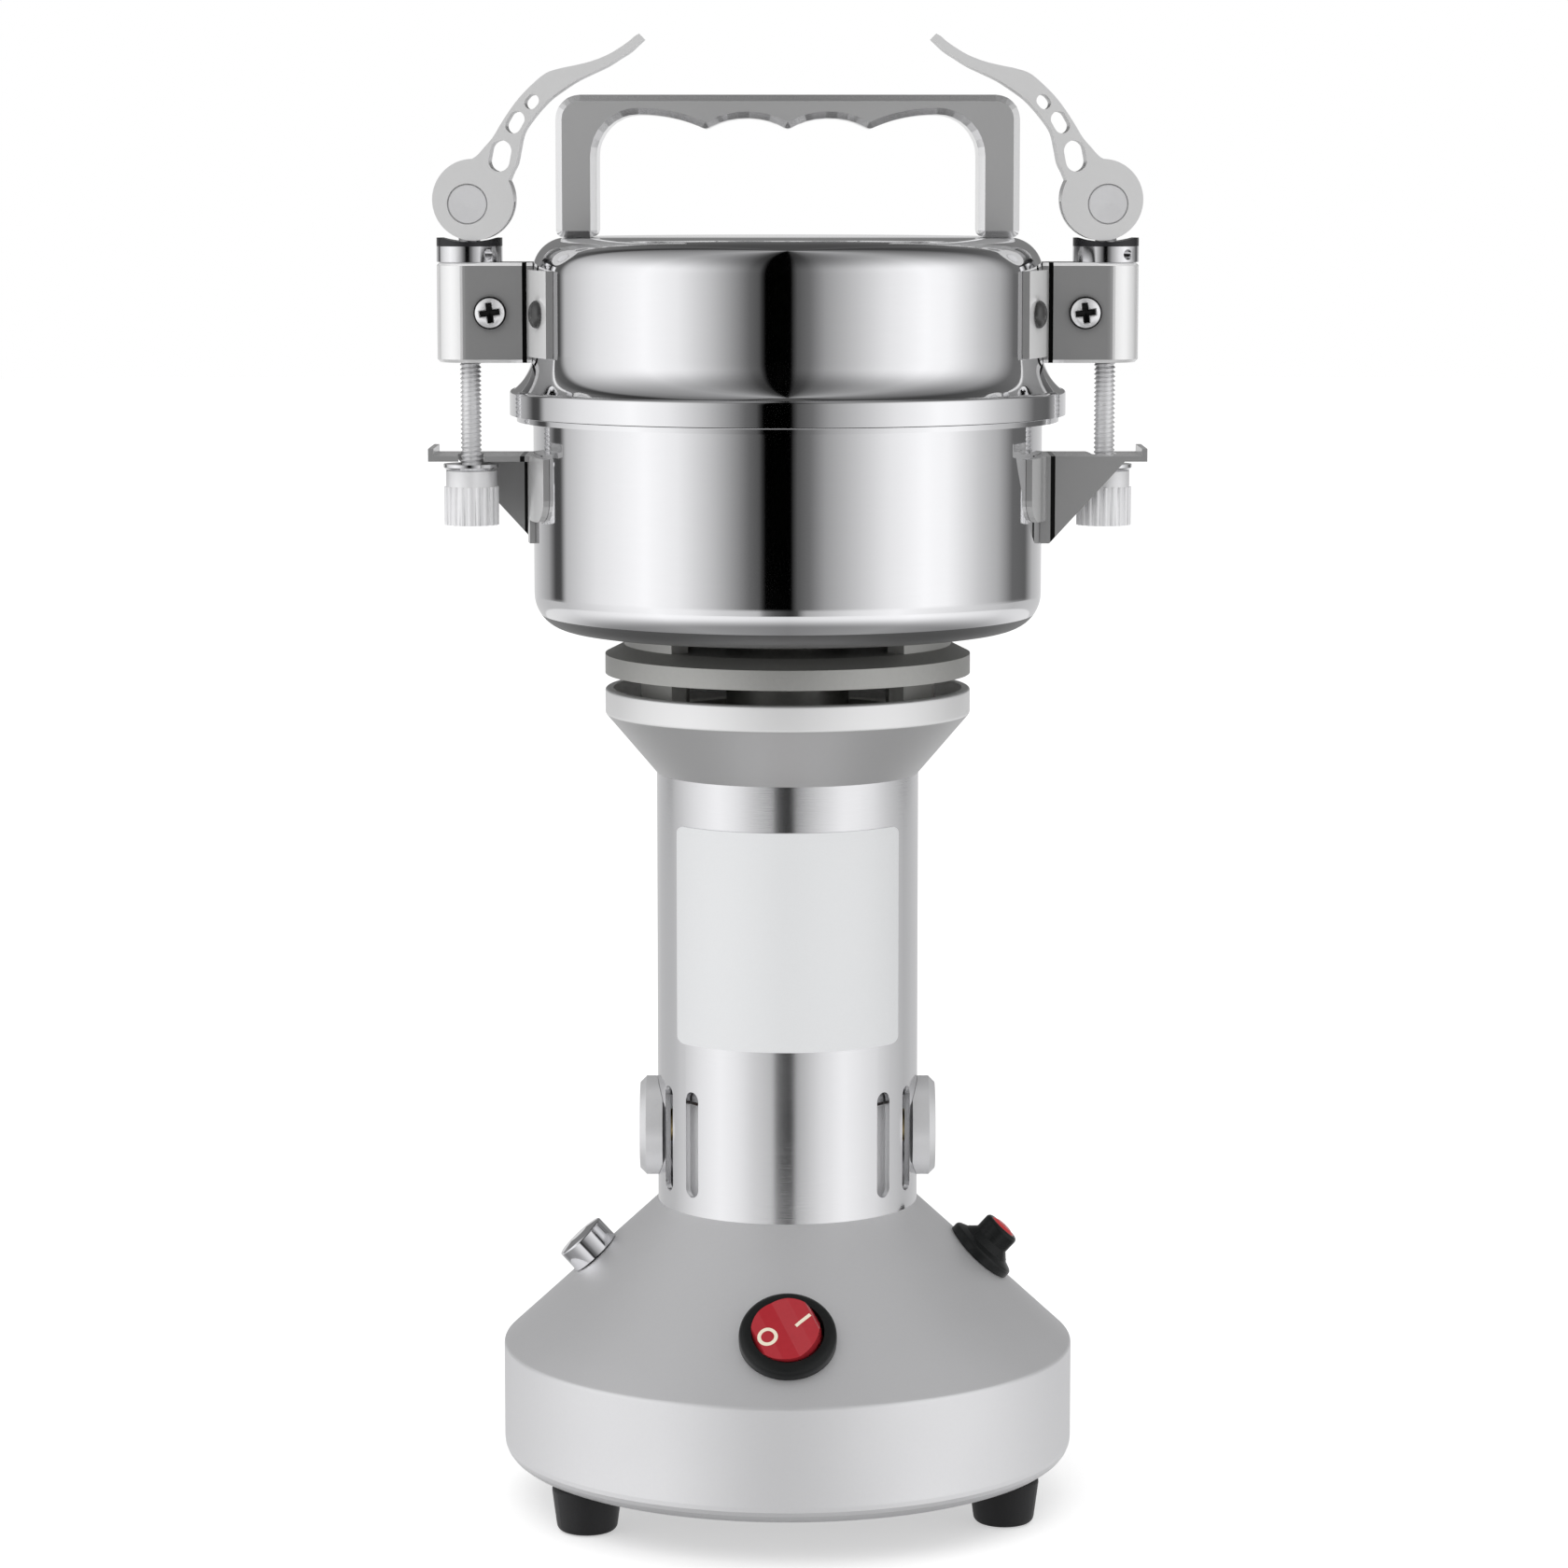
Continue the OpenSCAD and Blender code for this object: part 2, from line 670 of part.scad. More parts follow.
module stator_core() color("#77777a") difference() {
    translate([0, 0, z_stator]) tube(stator_r, stator_in, stator_h);
    mirrored_x() difference() {
        sector(coil_in - seat, coil_out + seat, coil_half + coil_slack,
            z_stator - over, stator_h + 2 * over);
        sector(coil_in - 2 * seat, coil_out + 2 * seat, pole_half - coil_slack,
            z_stator - 2 * over, stator_h + 4 * over);
    }
}

module field_windings() color("#b0672c") mirrored_x() difference() {
    sector(coil_in, coil_out, coil_half, z_stator - coil_end, stator_h + 2 * coil_end);
    sector(coil_in - over, coil_out + over, pole_half, z_stator - seat, stator_h + 2 * seat);
}

// Lower end frame: a cup whose wall shows in the vent slots, with air space round and over it,
// brush arms inside, and seats for the ball bearings
frame_t = 3;
cup_space = 2.1;
cup_wall = 1.5;
cup_rim_gap = 1.2;
hub_wall = 2.5;
z_lower_bearing = z_cone - frame_t;
frame_hole_r = 4.5;
arm_inset = 1;
arm_x0 = tube_in + arm_inset;
arm_x1 = tube_out - 3 * arm_inset;

module bearing_bracket() color("#8b8b8e") difference() {
    union() {
        translate([0, 0, z_cone]) cylinder(r = barrel_in - seat, h = frame_t);
        translate([0, 0, z_cone])
            tube(barrel_in - cup_space, barrel_in - cup_space - cup_wall, z_stator - cup_rim_gap - z_cone);
        translate([0, 0, z_lower_bearing - frame_t / 2])
            cylinder(r = bearing_r + hub_wall, h = bearing_h + frame_t);
        mirrored_x() block(arm_x0, arm_x1, -brush_tube_r, brush_tube_r, z_cone, z_brush);
    }
    translate([0, 0, z_lower_bearing]) cylinder(r = bearing_r + seat, h = bearing_h + frame_t);
    translate([0, 0, z_cone - 2 * frame_t]) cylinder(r = shaft_r + 2 * hub_wall, h = 2 * frame_t);
    brush_frame() cylinder(r = brush_tube_r + seat, h = barrel_in);
    around(4, 45) translate([(bearing_r + hub_wall + barrel_in) / 2, 0, z_cone - over])
        cylinder(r = frame_hole_r, h = frame_t + 2 * over);
}

// Carrier heights, which also place the upper bearing
collar_floor = 2.5;
z_collar_floor = z_barrel + collar_floor;
bearing_lift = 1;
z_upper_bearing = z_collar_floor + bearing_lift;

module bearings() color("#c8c8cc") for (z = [z_lower_bearing + seat, z_upper_bearing]) translate([0, 0, z])
    tube(bearing_r, shaft_r + seat, bearing_h);

// Rotor: shaft with armature, commutator, fan and blades
shaft_tail = 5;
blade_foot = 8.1;
spacer_gap = 0.6;
bowl_floor_t = 1.5;
z_blade = z_bowl + blade_foot;
z_upper_blade = z_blade + blade_t;
blade_nut_h = 5.5;
tip_stand = 1;
z_shaft_top = z_upper_blade + blade_t + blade_nut_h + tip_stand;
tip_thread_r = shaft_r * 0.75;
commutator_lift = 4.5;
commutator_z = z_lower_bearing + bearing_h + commutator_lift;
commutator_h = 12;
armature_gap = 2;
z_winding = commutator_z + commutator_h + gap;
winding_step = 2.6;
winding_out_r = armature_d / 2 - winding_step;
armature_slots = 12;
armature_slot_w = 2.2;
armature_slot_deep = 1.6;

module shaft() color("#cacacd") {
    translate([0, 0, z_lower_bearing - shaft_tail])
        cylinder(r = shaft_r, h = z_blade - z_lower_bearing + shaft_tail);
    translate([0, 0, z_blade - over]) cylinder(r = tip_thread_r, h = z_shaft_top - z_blade + over);
}

module armature() color("#8a5a34") difference() {
    union() {
        translate([0, 0, z_stator + armature_gap])
            cylinder(d = armature_d, h = stator_h - 2 * armature_gap);
        translate([0, 0, z_winding])
            cylinder(r = winding_out_r, h = z_stator + stator_h + coil_end - z_winding);
    }
    translate([0, 0, z_stator - coil_end]) cylinder(r = shaft_r + seat, h = stator_h + 3 * coil_end);
    around(armature_slots) block(armature_d / 2 - armature_slot_deep, armature_d / 2 + over,
        -armature_slot_w / 2, armature_slot_w / 2, z_stator, z_stator + stator_h);
}

module commutator() color("#b87333") difference() {
    translate([0, 0, commutator_z]) tube(commutator_r, shaft_r + seat, commutator_h);
    around(armature_slots * 2) block(commutator_r - seat * 8, commutator_r + over, -seat * 4, seat * 4,
        commutator_z - over, commutator_z + commutator_h * 0.8);
}

fan_gap = 2.5;
fan_h = 8;
fan_disc_t = 1.2;
fan_blades = 12;
fan_blade_t = 1;
z_fan = z_stator + stator_h + coil_end + fan_gap;

module cooling_fan() color("#3a3a3c") difference() {
    union() {
        translate([0, 0, z_fan]) cylinder(d = fan_d, h = fan_disc_t);
        translate([0, 0, z_fan]) cylinder(r = shaft_r + hub_wall, h = fan_h);
        around(fan_blades) block(shaft_r + hub_wall / 2, fan_d / 2 - fan_blade_t,
            -fan_blade_t / 2, fan_blade_t / 2, z_fan, z_fan + fan_h);
    }
    translate([0, 0, z_fan - over]) cylinder(r = shaft_r + seat, h = fan_h + 2 * over);
}

spacer_r = 7.5;

module blade_spacer() color("#bcbcbf") translate([0, 0, z_bowl + bowl_floor_t + spacer_gap])
    tube(spacer_r, shaft_r + seat, z_blade - z_bowl - bowl_floor_t - spacer_gap);

// A two-armed blade: broad at the hub, swept back and rounded at its tips
blade_hub_share = 0.2;
blade_tip_share = 0.14;
blade_back_share = 0.13;
blade_sweep_share = 0.62;

module blade(r) difference() {
    union() for (s = [0, 180]) rotate([0, 0, s]) linear_extrude(blade_t) polygon(outline([
        [-r * blade_hub_share, -r * blade_hub_share, 0],
        [r * blade_hub_share, -r * blade_hub_share, r * blade_hub_share],
        [r, -r * blade_tip_share, r * blade_tip_share / 2],
        [r * (1 - blade_tip_share / 2), r * blade_back_share, r * blade_tip_share],
        [r * blade_sweep_share, r * blade_back_share, r * blade_sweep_share],
        [r * blade_hub_share, r * blade_hub_share, r * blade_hub_share / 2],
        [-r * blade_hub_share / 2, r * blade_hub_share, 0]
    ]));
    translate([0, 0, -over]) cylinder(r = tip_thread_r + seat, h = blade_t + 2 * over);
}

module lower_blade() color("#d4d4d8") translate([0, 0, z_blade]) blade(blade_r);
module upper_blade() color("#d4d4d8") translate([0, 0, z_upper_blade]) rotate([0, 0, 90])
    blade(blade_r * 0.8);

blade_nut_r = 6;

module blade_nut() color("#c4c4c8") translate([0, 0, z_upper_blade + blade_t]) difference() {
    union() {
        cylinder(r = blade_nut_r, h = blade_nut_h * 0.8, $fn = 6);
        cylinder(r = blade_nut_r * 0.8, h = blade_nut_h);
    }
    translate([0, 0, -over]) cylinder(r = tip_thread_r + seat, h = blade_nut_h + 2 * over);
}

// Collar: a flared cup on top of the barrel
collar_wall = 1.8;
collar_spigot = 5.5;
ledge_w = 6.7;
post_wall = 4;
head_clear = 0.5;
lower_screw_ring_r = post_r - post_wall - screw_head_r - head_clear;
collar_bore_r = lower_screw_ring_r - ledge_w / 2 + 3 * seat;
flare_run = collar_r - barrel_r;
flare_len = norm([flare_run, flare_h]);
flare_inset = collar_wall * flare_len / flare_h;
function flare_r(z) = barrel_r - flare_inset + (z - z_barrel) * flare_run / flare_h;
function flare_z(r) = z_barrel + (r + flare_inset - barrel_r) * flare_h / flare_run;

module collar() color("#9c9c9e") difference() {
    revolve([
        [collar_bore_r, z_barrel - collar_spigot, 0],
        [barrel_in - seat, z_barrel - collar_spigot, 0],
        [barrel_in - seat, z_barrel, 0],
        [barrel_r, z_barrel, 0],
        [collar_r, z_flare, ridge_fillet],
        [collar_r, z_collar, collar_wall / 3],
        [collar_r - collar_wall, z_collar, 0],
        [collar_r - collar_wall, flare_z(collar_r - collar_wall), 0],
        [flare_r(z_collar_floor), z_collar_floor, 0],
        [collar_bore_r, z_collar_floor, 0]
    ]);
    around(4, 45) translate([lower_screw_ring_r, 0, z_barrel - collar_spigot / 2])
        cylinder(r = screw_r + seat, h = collar_spigot + collar_floor);
}

// Carrier: a cast spider with a bearing hub, open windows front and back, and pads for the bowl
carrier_foot_r = flare_r(z_collar_floor) - gap * 2;
web_t = 3;
hub_r = bearing_r + hub_wall;
pad_r = collar_r - 2 * disc_chamfer;
pad_wall = 5;
lower_window = 51;
upper_window = 44;
seal_r = 8;
seal_h = 5.5;
carrier_bore_r = 6;
upper_screw_ring_r = pad_r - pad_wall / 2;
pad_screw_spread = 26;
screw_len = 11;

module window_band(half, r0, r1, z, h) for (s = [0, 180]) rotate([0, 0, s])
    sector(r0, r1, half, z, h);

module bowl_carrier() color("#a0a09c") difference() {
    revolve([
        [carrier_bore_r, z_collar_floor, 0],
        [carrier_foot_r, z_collar_floor, 0],
        [post_r, flare_z(post_r) + 2 * gap, 0],
        [post_r, z_disc, 0],
        [collar_r, z_disc, 0],
        [collar_r, z_disc + disc_h, 0],
        [pad_r, z_pad, 0],
        [pad_r, z_bowl, 0],
        [pad_r - pad_wall, z_bowl, 0],
        [pad_r - pad_wall, z_pad, 0],
        [hub_r, z_pad, 0],
        [hub_r, z_bowl, 0],
        [carrier_bore_r, z_bowl, 0]
    ]);
    difference() {
        translate([0, 0, z_collar_floor + web_t])
            cylinder(r = post_r - post_wall, h = z_disc - z_collar_floor - web_t);
        translate([0, 0, z_collar_floor]) cylinder(r = hub_r, h = z_disc - z_collar_floor);
    }
    window_band(lower_window, post_r - post_wall - over, post_r + over, z_flare, z_disc - gap - z_flare);
    window_band(upper_window, pad_r - pad_wall - over, pad_r + over, z_pad, pad_h + over);
    translate([0, 0, z_collar_floor - over])
        cylinder(r = bearing_r + seat, h = z_upper_bearing - z_collar_floor + bearing_h + over);
    translate([0, 0, z_bowl - seal_h]) cylinder(r = seal_r + seat, h = seal_h + over);
    around(4, 45) translate([lower_screw_ring_r, 0, z_collar_floor - over])
        cylinder(r = screw_r + seat, h = web_t + 2 * over);
    mirrored_x() for (a = [-1, 1]) rotate([0, 0, a * pad_screw_spread])
        translate([upper_screw_ring_r, 0, z_bowl + bowl_floor_t - screw_len - seat])
            cylinder(r = screw_r + seat, h = screw_len + over);
}

module carrier_screws() color("#b8b8ba") {
    around(4, 45) translate([lower_screw_ring_r, 0, z_collar_floor + web_t + seat])
        mirror([0, 0, 1]) screw(collar_spigot / 2 + collar_floor + web_t);
    mirrored_x() for (a = [-1, 1]) rotate([0, 0, a * pad_screw_spread])
        translate([upper_screw_ring_r, 0, z_bowl + bowl_floor_t + seat]) mirror([0, 0, 1]) screw(screw_len);
}

// Bowl, spun from sheet, with a flange round its mouth
shaft_clear = 1.2;
bowl_hole_r = shaft_r + shaft_clear;

module bowl() color("#d9d9dc") difference() {
    revolve([
        [bowl_hole_r, z_bowl, 0],
        [bowl_r, z_bowl, bowl_corner],
        [bowl_r, z_flange, 0],
        [flange_r, z_flange, 0],
        [flange_r, z_bowl_top, flange_t / 3],
        [bowl_in, z_bowl_top, 0],
        [bowl_in, z_bowl + bowl_floor_t, bowl_corner - bowl_wall],
        [bowl_hole_r, z_bowl + bowl_floor_t, 0]
    ]);
    mirrored_x() for (a = [-1, 1]) rotate([0, 0, a * pad_screw_spread])
        translate([upper_screw_ring_r, 0, z_bowl - over])
            cylinder(r = screw_r + seat, h = bowl_floor_t + 2 * over);
}

module shaft_seal() color("#202022") translate([0, 0, z_bowl - seal_h + seat])
    tube(seal_r, shaft_r + run, seal_h - 2 * seat);

// Hook bracket: a curved plate on the bowl, a slotted shelf with a raised lip, and one gusset.
// The slot follows the circle of the bolts and opens on the side away from the gusset.
shelf_half = 9.5;
shelf_out = 8.8;
shelf_lip = 1.6;
slot_clear = 0.45;
hook_plate_half = 22;
hook_plate_h = 13.9;
hook_plate_fillet = 5;
hook_tail_half = 8;
hook_tail_h = 19;
gusset_out = 5;
z_shelf = z_bowl + shelf_rise;
hook_in_r = bowl_r + seat;
hook_out_r = hook_in_r + hook_t;

module hook_bracket() color("#b2b2b5") difference() {
    union() {
        translate([latch_r, 0, 0]) intersection() {
            translate([0, 0, z_shelf - hook_tail_h]) tube(hook_out_r, hook_in_r, hook_tail_h);
            rotate([90, 0, -90]) linear_extrude(bowl_r * 2) polygon(outline([
                [-hook_plate_half, z_shelf, 0],
                [-hook_plate_half, z_shelf - hook_plate_h, hook_plate_fillet],
                [-hook_tail_half, z_shelf - hook_plate_h, 0],
                [-hook_tail_half, z_shelf - hook_tail_h, hook_t],
                [shelf_half, z_shelf - hook_tail_h, 0],
                [shelf_half, z_shelf - hook_plate_h, 0],
                [hook_plate_half, z_shelf - hook_plate_h, hook_plate_fillet],
                [hook_plate_half, z_shelf, 0]
            ]));
        }
        block(-shelf_out, latch_r - hook_in_r / 2, -shelf_half, shelf_half, z_shelf - hook_t, z_shelf);
        block(-shelf_out, -shelf_out + hook_t, -shelf_half, shelf_half,
            z_shelf - hook_t, z_shelf + shelf_lip);
        translate([0, shelf_half, 0]) rotate([90, 0, 0]) linear_extrude(hook_t) polygon([
            [-gusset_out, z_shelf],
            [latch_r - hook_out_r, z_shelf - hook_tail_h],
            [latch_r - hook_in_r / 2, z_shelf - hook_tail_h],
            [latch_r - hook_in_r / 2, z_shelf]
        ]);
    }
    translate([latch_r, 0, z_shelf - 2 * hook_tail_h]) cylinder(r = hook_in_r, h = 3 * hook_tail_h);
    translate([0, 0, z_shelf - 2 * hook_t]) cylinder(r = bolt_r + slot_clear, h = 3 * hook_t);
    translate([latch_r, 0, 0]) intersection() {
        translate([0, 0, z_shelf - 2 * hook_t])
            tube(latch_r + bolt_r + slot_clear, latch_r - bolt_r - slot_clear, 3 * hook_t);
        block(-2 * latch_r, 0, -2 * shelf_half, 0, z_shelf - 2 * hook_t, z_shelf + shelf_lip);
    }
}

module hook_bracket_left() at_latch(false) hook_bracket();
module hook_bracket_right() at_latch(true) hook_bracket();

// Lid: a spun cap with a skirt over the bowl's flange and a hollow flare above it
skirt_clear = 0.4;
skirt_in_r = flange_r + skirt_clear;
skirt_step = 1;
flare_foot_w = skirt_r - skirt_step - bowl_r;
flare_arc_r = (flare_foot_w * flare_foot_w + lid_flare_h * lid_flare_h) / (2 * flare_foot_w);
z_lid_wall = z_skirt_top + lid_flare_h;
gasket_h = 3.7;
z_gasket = z_bowl_top + gap;
handle_screw_x = handle_half - leg_w / 2;

module lid_shell() color("#d9d9dc") difference() {
    rotate_extrude() polygon(concat(
        outline([
            [skirt_in_r, z_gasket + gasket_h, 0],
            [skirt_in_r, z_skirt, 0],
            [skirt_r, z_skirt, 0],
            [skirt_r, z_skirt_top, skirt_step * 0.8],
            [skirt_r - 2 * skirt_step, z_skirt_top, 0]
        ]),
        arc([bowl_r + flare_arc_r, z_lid_wall], flare_arc_r,
            180 + asin(lid_flare_h / flare_arc_r), 180, arc_steps),
        corner([bowl_r, z_skirt], [bowl_r, z_lid], [0, z_lid], lid_corner),
        [[0, z_lid], [0, z_lid - bowl_wall]],
        corner([0, z_lid - bowl_wall], [bowl_in, z_lid - bowl_wall], [bowl_in, z_skirt],
            lid_corner - bowl_wall),
        [[bowl_in, z_gasket + gasket_h]]
    ));
    mirrored_x() translate([handle_screw_x, 0, z_lid - 2 * bowl_wall])
        cylinder(r = screw_r + seat, h = 3 * bowl_wall);
    for (a = rivet_bearings) rotate([0, 0, a]) translate([0, 0, z_strap_mid]) rotate([0, 90, 0])
        cylinder(r = rivet_r + seat, h = bowl_r + over);
}

module lid_gasket() color("#e8e4dc") translate([0, 0, z_gasket])
    tube(skirt_in_r - seat, bowl_in + seat, gasket_h);

// Handle: a flat loop with four finger hollows and a bevel round both faces
leg_fillet = 1.5;
handle_fillet = 5.2;
handle_foot = z_lid + seat;
cusp_drop = 7.4;
hollow_rise = 2.4;
end_hollow_rise = 3.2;
throat_r = 9;
leg_in = handle_half - leg_w;
z_cusp = z_handle - cusp_drop;
hollow_r = (finger_pitch * finger_pitch / 4 + hollow_rise * hollow_rise) / (2 * hollow_rise);
end_reach = leg_in - throat_r - finger_pitch;
end_r = (end_reach * end_reach + end_hollow_rise * end_hollow_rise) / (2 * end_hollow_rise);
hollow_sweep = asin(finger_pitch / 2 / hollow_r);
end_sweep = asin(end_reach / end_r);
hollow_steps = 8;

// The right half of the finger edge, from the leg to the middle cusp
function finger_edge() = concat(
    arc([leg_in - throat_r, z_cusp + end_hollow_rise - throat_r], throat_r, 0, 90, hollow_steps),
    arc([leg_in - throat_r, z_cusp + end_hollow_rise - end_r], end_r,
        90 + end_sweep / hollow_steps, 90 + end_sweep, hollow_steps),
    arc([finger_pitch / 2, z_cusp + hollow_rise - hollow_r], hollow_r,
        90 - hollow_sweep * 0.9, 90 + hollow_sweep, hollow_steps)
);

module handle_outline() polygon(concat(
    corner([handle_half, z_lid], [handle_half, z_handle], [0, z_handle], handle_fillet),
    corner([0, z_handle], [-handle_half, z_handle], [-handle_half, z_lid], handle_fillet),
    corner([-handle_half, z_handle], [-handle_half, handle_foot], [0, handle_foot], leg_fillet),
    corner([-handle_half, handle_foot], [-leg_in, handle_foot], [-leg_in, z_handle], leg_fillet),
    [for (p = finger_edge()) if (p.x > seat) [-p.x, p.y]],
    [for (i = [len(finger_edge()) - 1:-1:0]) finger_edge()[i]],
    corner([leg_in, z_handle], [leg_in, handle_foot], [handle_half, handle_foot], leg_fillet),
    corner([0, handle_foot], [handle_half, handle_foot], [handle_half, z_handle], leg_fillet)
));

module handle() color("#929294") difference() {
    minkowski() {
        rotate([90, 0, 0]) translate([0, 0, bevel - handle_depth / 2])
            linear_extrude(handle_depth - 2 * bevel) offset(delta = -bevel) handle_outline();
        rotate([90, 0, 0]) for (m = [0, 1]) mirror([0, 0, m])
            cylinder(r1 = bevel, r2 = 0, h = bevel, $fn = 12);
    }
    mirrored_x() translate([handle_screw_x, 0, z_lid - over])
        cylinder(r = screw_r + seat, h = handle_h / 2);
}

module handle_screws() color("#b8b8ba") mirrored_x()
    translate([handle_screw_x, 0, z_lid - bowl_wall - gap]) screw(handle_h / 2 - 2 * over);

// Latch on the side of the lid: a folded strap round a guide block, with a collar and a cam
// washer on top, through which the clamp bolt slides
cam_rest = 37;
washer_t = 1.8;
washer_hollow_r = 20;
washer_dish = 0.9;
collar_h = 3.4;
grub_turn = 38;
z_strap_top = z_lid - collar_h - washer_t - seat * 4;
z_strap = z_strap_top - strap_h;
z_strap_mid = z_strap + strap_h / 2;
tab_half = 24.5;
tab_h_share = 0.86;
strap_bevel = 0.7;
crease_w = 0.9;
crease_depth_share = 0.6;
crease_x = latch_r - sqrt(pow(bowl_r + seat + strap_t, 2) - strap_r * strap_r) - crease_w;
strap_screw_x = 4.8;
guide_r = strap_r - strap_t - 2 * seat;
guide_in = 9;
grub_r = 1.5;
rivet_r = 1.5;
rivet_head_r = 3;
rivet_head_h = 1.7;
rivet_back_h = 1;
rivet_y = 19;
rivet_turn = asin(rivet_y / bowl_r);
rivet_bearings = [rivet_turn, -rivet_turn, 180 + rivet_turn, 180 - rivet_turn];
strap_in_r = bowl_r + seat;
strap_dip = max(z_lid_wall - z_strap, 0);
strap_foot_r = strap_in_r + flare_arc_r - sqrt(flare_arc_r * flare_arc_r - strap_dip * strap_dip);

module latch_strap() color("#77777a") difference() {
    union() {
        translate([0, 0, z_strap]) cylinder(r1 = strap_r - strap_bevel, r2 = strap_r, h = strap_bevel);
        translate([0, 0, z_strap + strap_bevel]) cylinder(r = strap_r, h = strap_h - 2 * strap_bevel);
        translate([0, 0, z_strap_top - strap_bevel])
            cylinder(r1 = strap_r, r2 = strap_r - strap_bevel, h = strap_bevel);
        rotate([90, 0, 90]) linear_extrude(latch_r - bowl_r / 2) polygon([
            [strap_bevel - strap_r, z_strap], [strap_r - strap_bevel, z_strap],
            [strap_r, z_strap + strap_bevel], [strap_r, z_strap_top - strap_bevel],
            [strap_r - strap_bevel, z_strap_top], [strap_bevel - strap_r, z_strap_top],
            [-strap_r, z_strap_top - strap_bevel], [-strap_r, z_strap + strap_bevel]
        ]);
        translate([latch_r, 0, 0]) intersection() {
            translate([0, 0, z_strap_mid - strap_h * tab_h_share / 2])
                tube(strap_in_r + strap_t, strap_in_r, strap_h * tab_h_share);
            block(-2 * bowl_r, 0, -tab_half, tab_half, z_strap, z_strap_top);
        }
    }
    translate([0, 0, z_strap - over]) cylinder(r = strap_r - strap_t, h = strap_h + 2 * over);
    block(0, latch_r, strap_t - strap_r, strap_r - strap_t, z_strap - over, z_strap_top + over);
    translate([latch_r, 0, z_strap - over]) cylinder(r = strap_in_r, h = strap_h + 2 * over);
    translate([latch_r, 0, z_strap]) cylinder(r1 = strap_foot_r, r2 = strap_in_r, h = strap_dip);
    for (side = [-1, 1]) translate([crease_x, side * strap_r, z_strap - over])
        translate([0, -crease_depth_share * strap_t, 0])
            cube([crease_w, 2 * crease_depth_share * strap_t, strap_h + 2 * over]);
    translate([strap_screw_x, 0, z_strap_mid])
        along_y(-strap_r - over, screw_r + seat, 2 * strap_r + 2 * over);
    translate([latch_r, 0, z_strap_mid]) for (a = [-1, 1])
        rotate([0, 0, 180 + a * rivet_turn]) rotate([0, 90, 0]) cylinder(r = rivet_r + seat, h = latch_r);
}

module latch_strap_left() at_latch(false) latch_strap();
module latch_strap_right() at_latch(true) latch_strap();

module latch_guides() color("#3c3c3e") for (right = [false, true]) at_latch(right) difference() {
    union() {
        translate([0, 0, z_strap]) cylinder(r = guide_r, h = strap_h);
        block(0, guide_in, -guide_r, guide_r, z_strap, z_strap_top);
    }
    translate([0, 0, z_strap - over]) cylinder(r = bolt_r + run, h = strap_h + 2 * over);
    translate([strap_screw_x, 0, z_strap_mid]) along_y(-strap_r, screw_r + seat, 2 * strap_r);
}

// Cross screws with their heads at the front, hexagon nuts behind, and rivets through the tabs
cross_nut_r = 3.9;
cross_nut_h = 2.4;

module latch_screws() color("#a8a8aa") {
    for (side = [-1, 1])
        translate([side * (latch_r - strap_screw_x), -strap_r - seat, z_strap_mid]) rotate([-90, 0, 0]) {
            screw(2 * strap_r + cross_nut_h);
            translate([0, 0, 2 * strap_r + 2 * seat]) difference() {
                cylinder(r = cross_nut_r, h = cross_nut_h, $fn = 6);
                translate([0, 0, -over]) cylinder(r = screw_r + seat, h = cross_nut_h + 2 * over);
            }
        }
    for (a = rivet_bearings) rotate([0, 0, a]) translate([0, 0, z_strap_mid]) rotate([0, 90, 0]) {
        translate([0, 0, bowl_in - seat - rivet_back_h]) cylinder(r = rivet_head_r * 0.8, h = rivet_back_h);
        translate([0, 0, bowl_in - seat * 2]) cylinder(r = rivet_r, h = bowl_wall + strap_t + 4 * seat);
        translate([0, 0, strap_in_r + strap_t + seat]) intersection() {
            cylinder(r = rivet_head_r, h = rivet_head_h);
            translate([0, 0, rivet_head_h - rivet_head_r * 1.25]) sphere(r = rivet_head_r * 1.25);
        }
    }
}

module latch_collars() color("#cfcfd2") for (right = [false, true]) at_latch(right) difference() {
    translate([0, 0, z_strap_top + seat]) tube(strap_r, bolt_r + run, collar_h);
    for (s = [0, 180]) rotate([0, 0, s + grub_turn]) translate([0, 0, z_strap_top + collar_h / 2])
        along_y(strap_r - grub_r, grub_r / 1.3, strap_r);
}

z_cam_washer = z_strap_top + collar_h + 2 * seat;

module cam_washers() color("#1b1b1d") for (right = [false, true]) at_latch(right) difference() {
    translate([0, 0, z_cam_washer]) tube(strap_r, bolt_r + run, washer_t);
    translate([0, 0, z_cam_washer + washer_t - washer_dish + washer_hollow_r])
        along_y(-strap_r - over, washer_hollow_r, 2 * strap_r + 2 * over);
}

// Cam lever and its bolt: the pin lies off the middle of the cam disc
eye_r = 4.4;
eye_t = 4.6;
pin_r = 2;
fork_gap = 0.3;
fork_r = 10;
dimple_r = 4.4;
dimple_deep = 0.9;
pin_head_sunk = 0.25;
pin_dish = 0.3;
pin_lift = cam_r - cam_throw * sin(cam_rest);
z_pin = z_cam_washer + washer_t - washer_dish + gap + pin_lift;
cam_x = cam_throw * cos(cam_rest);
cam_z = z_pin + cam_throw * sin(cam_rest);
bolt_below = 15.4;
bolt_foot = z_shelf - bolt_below;

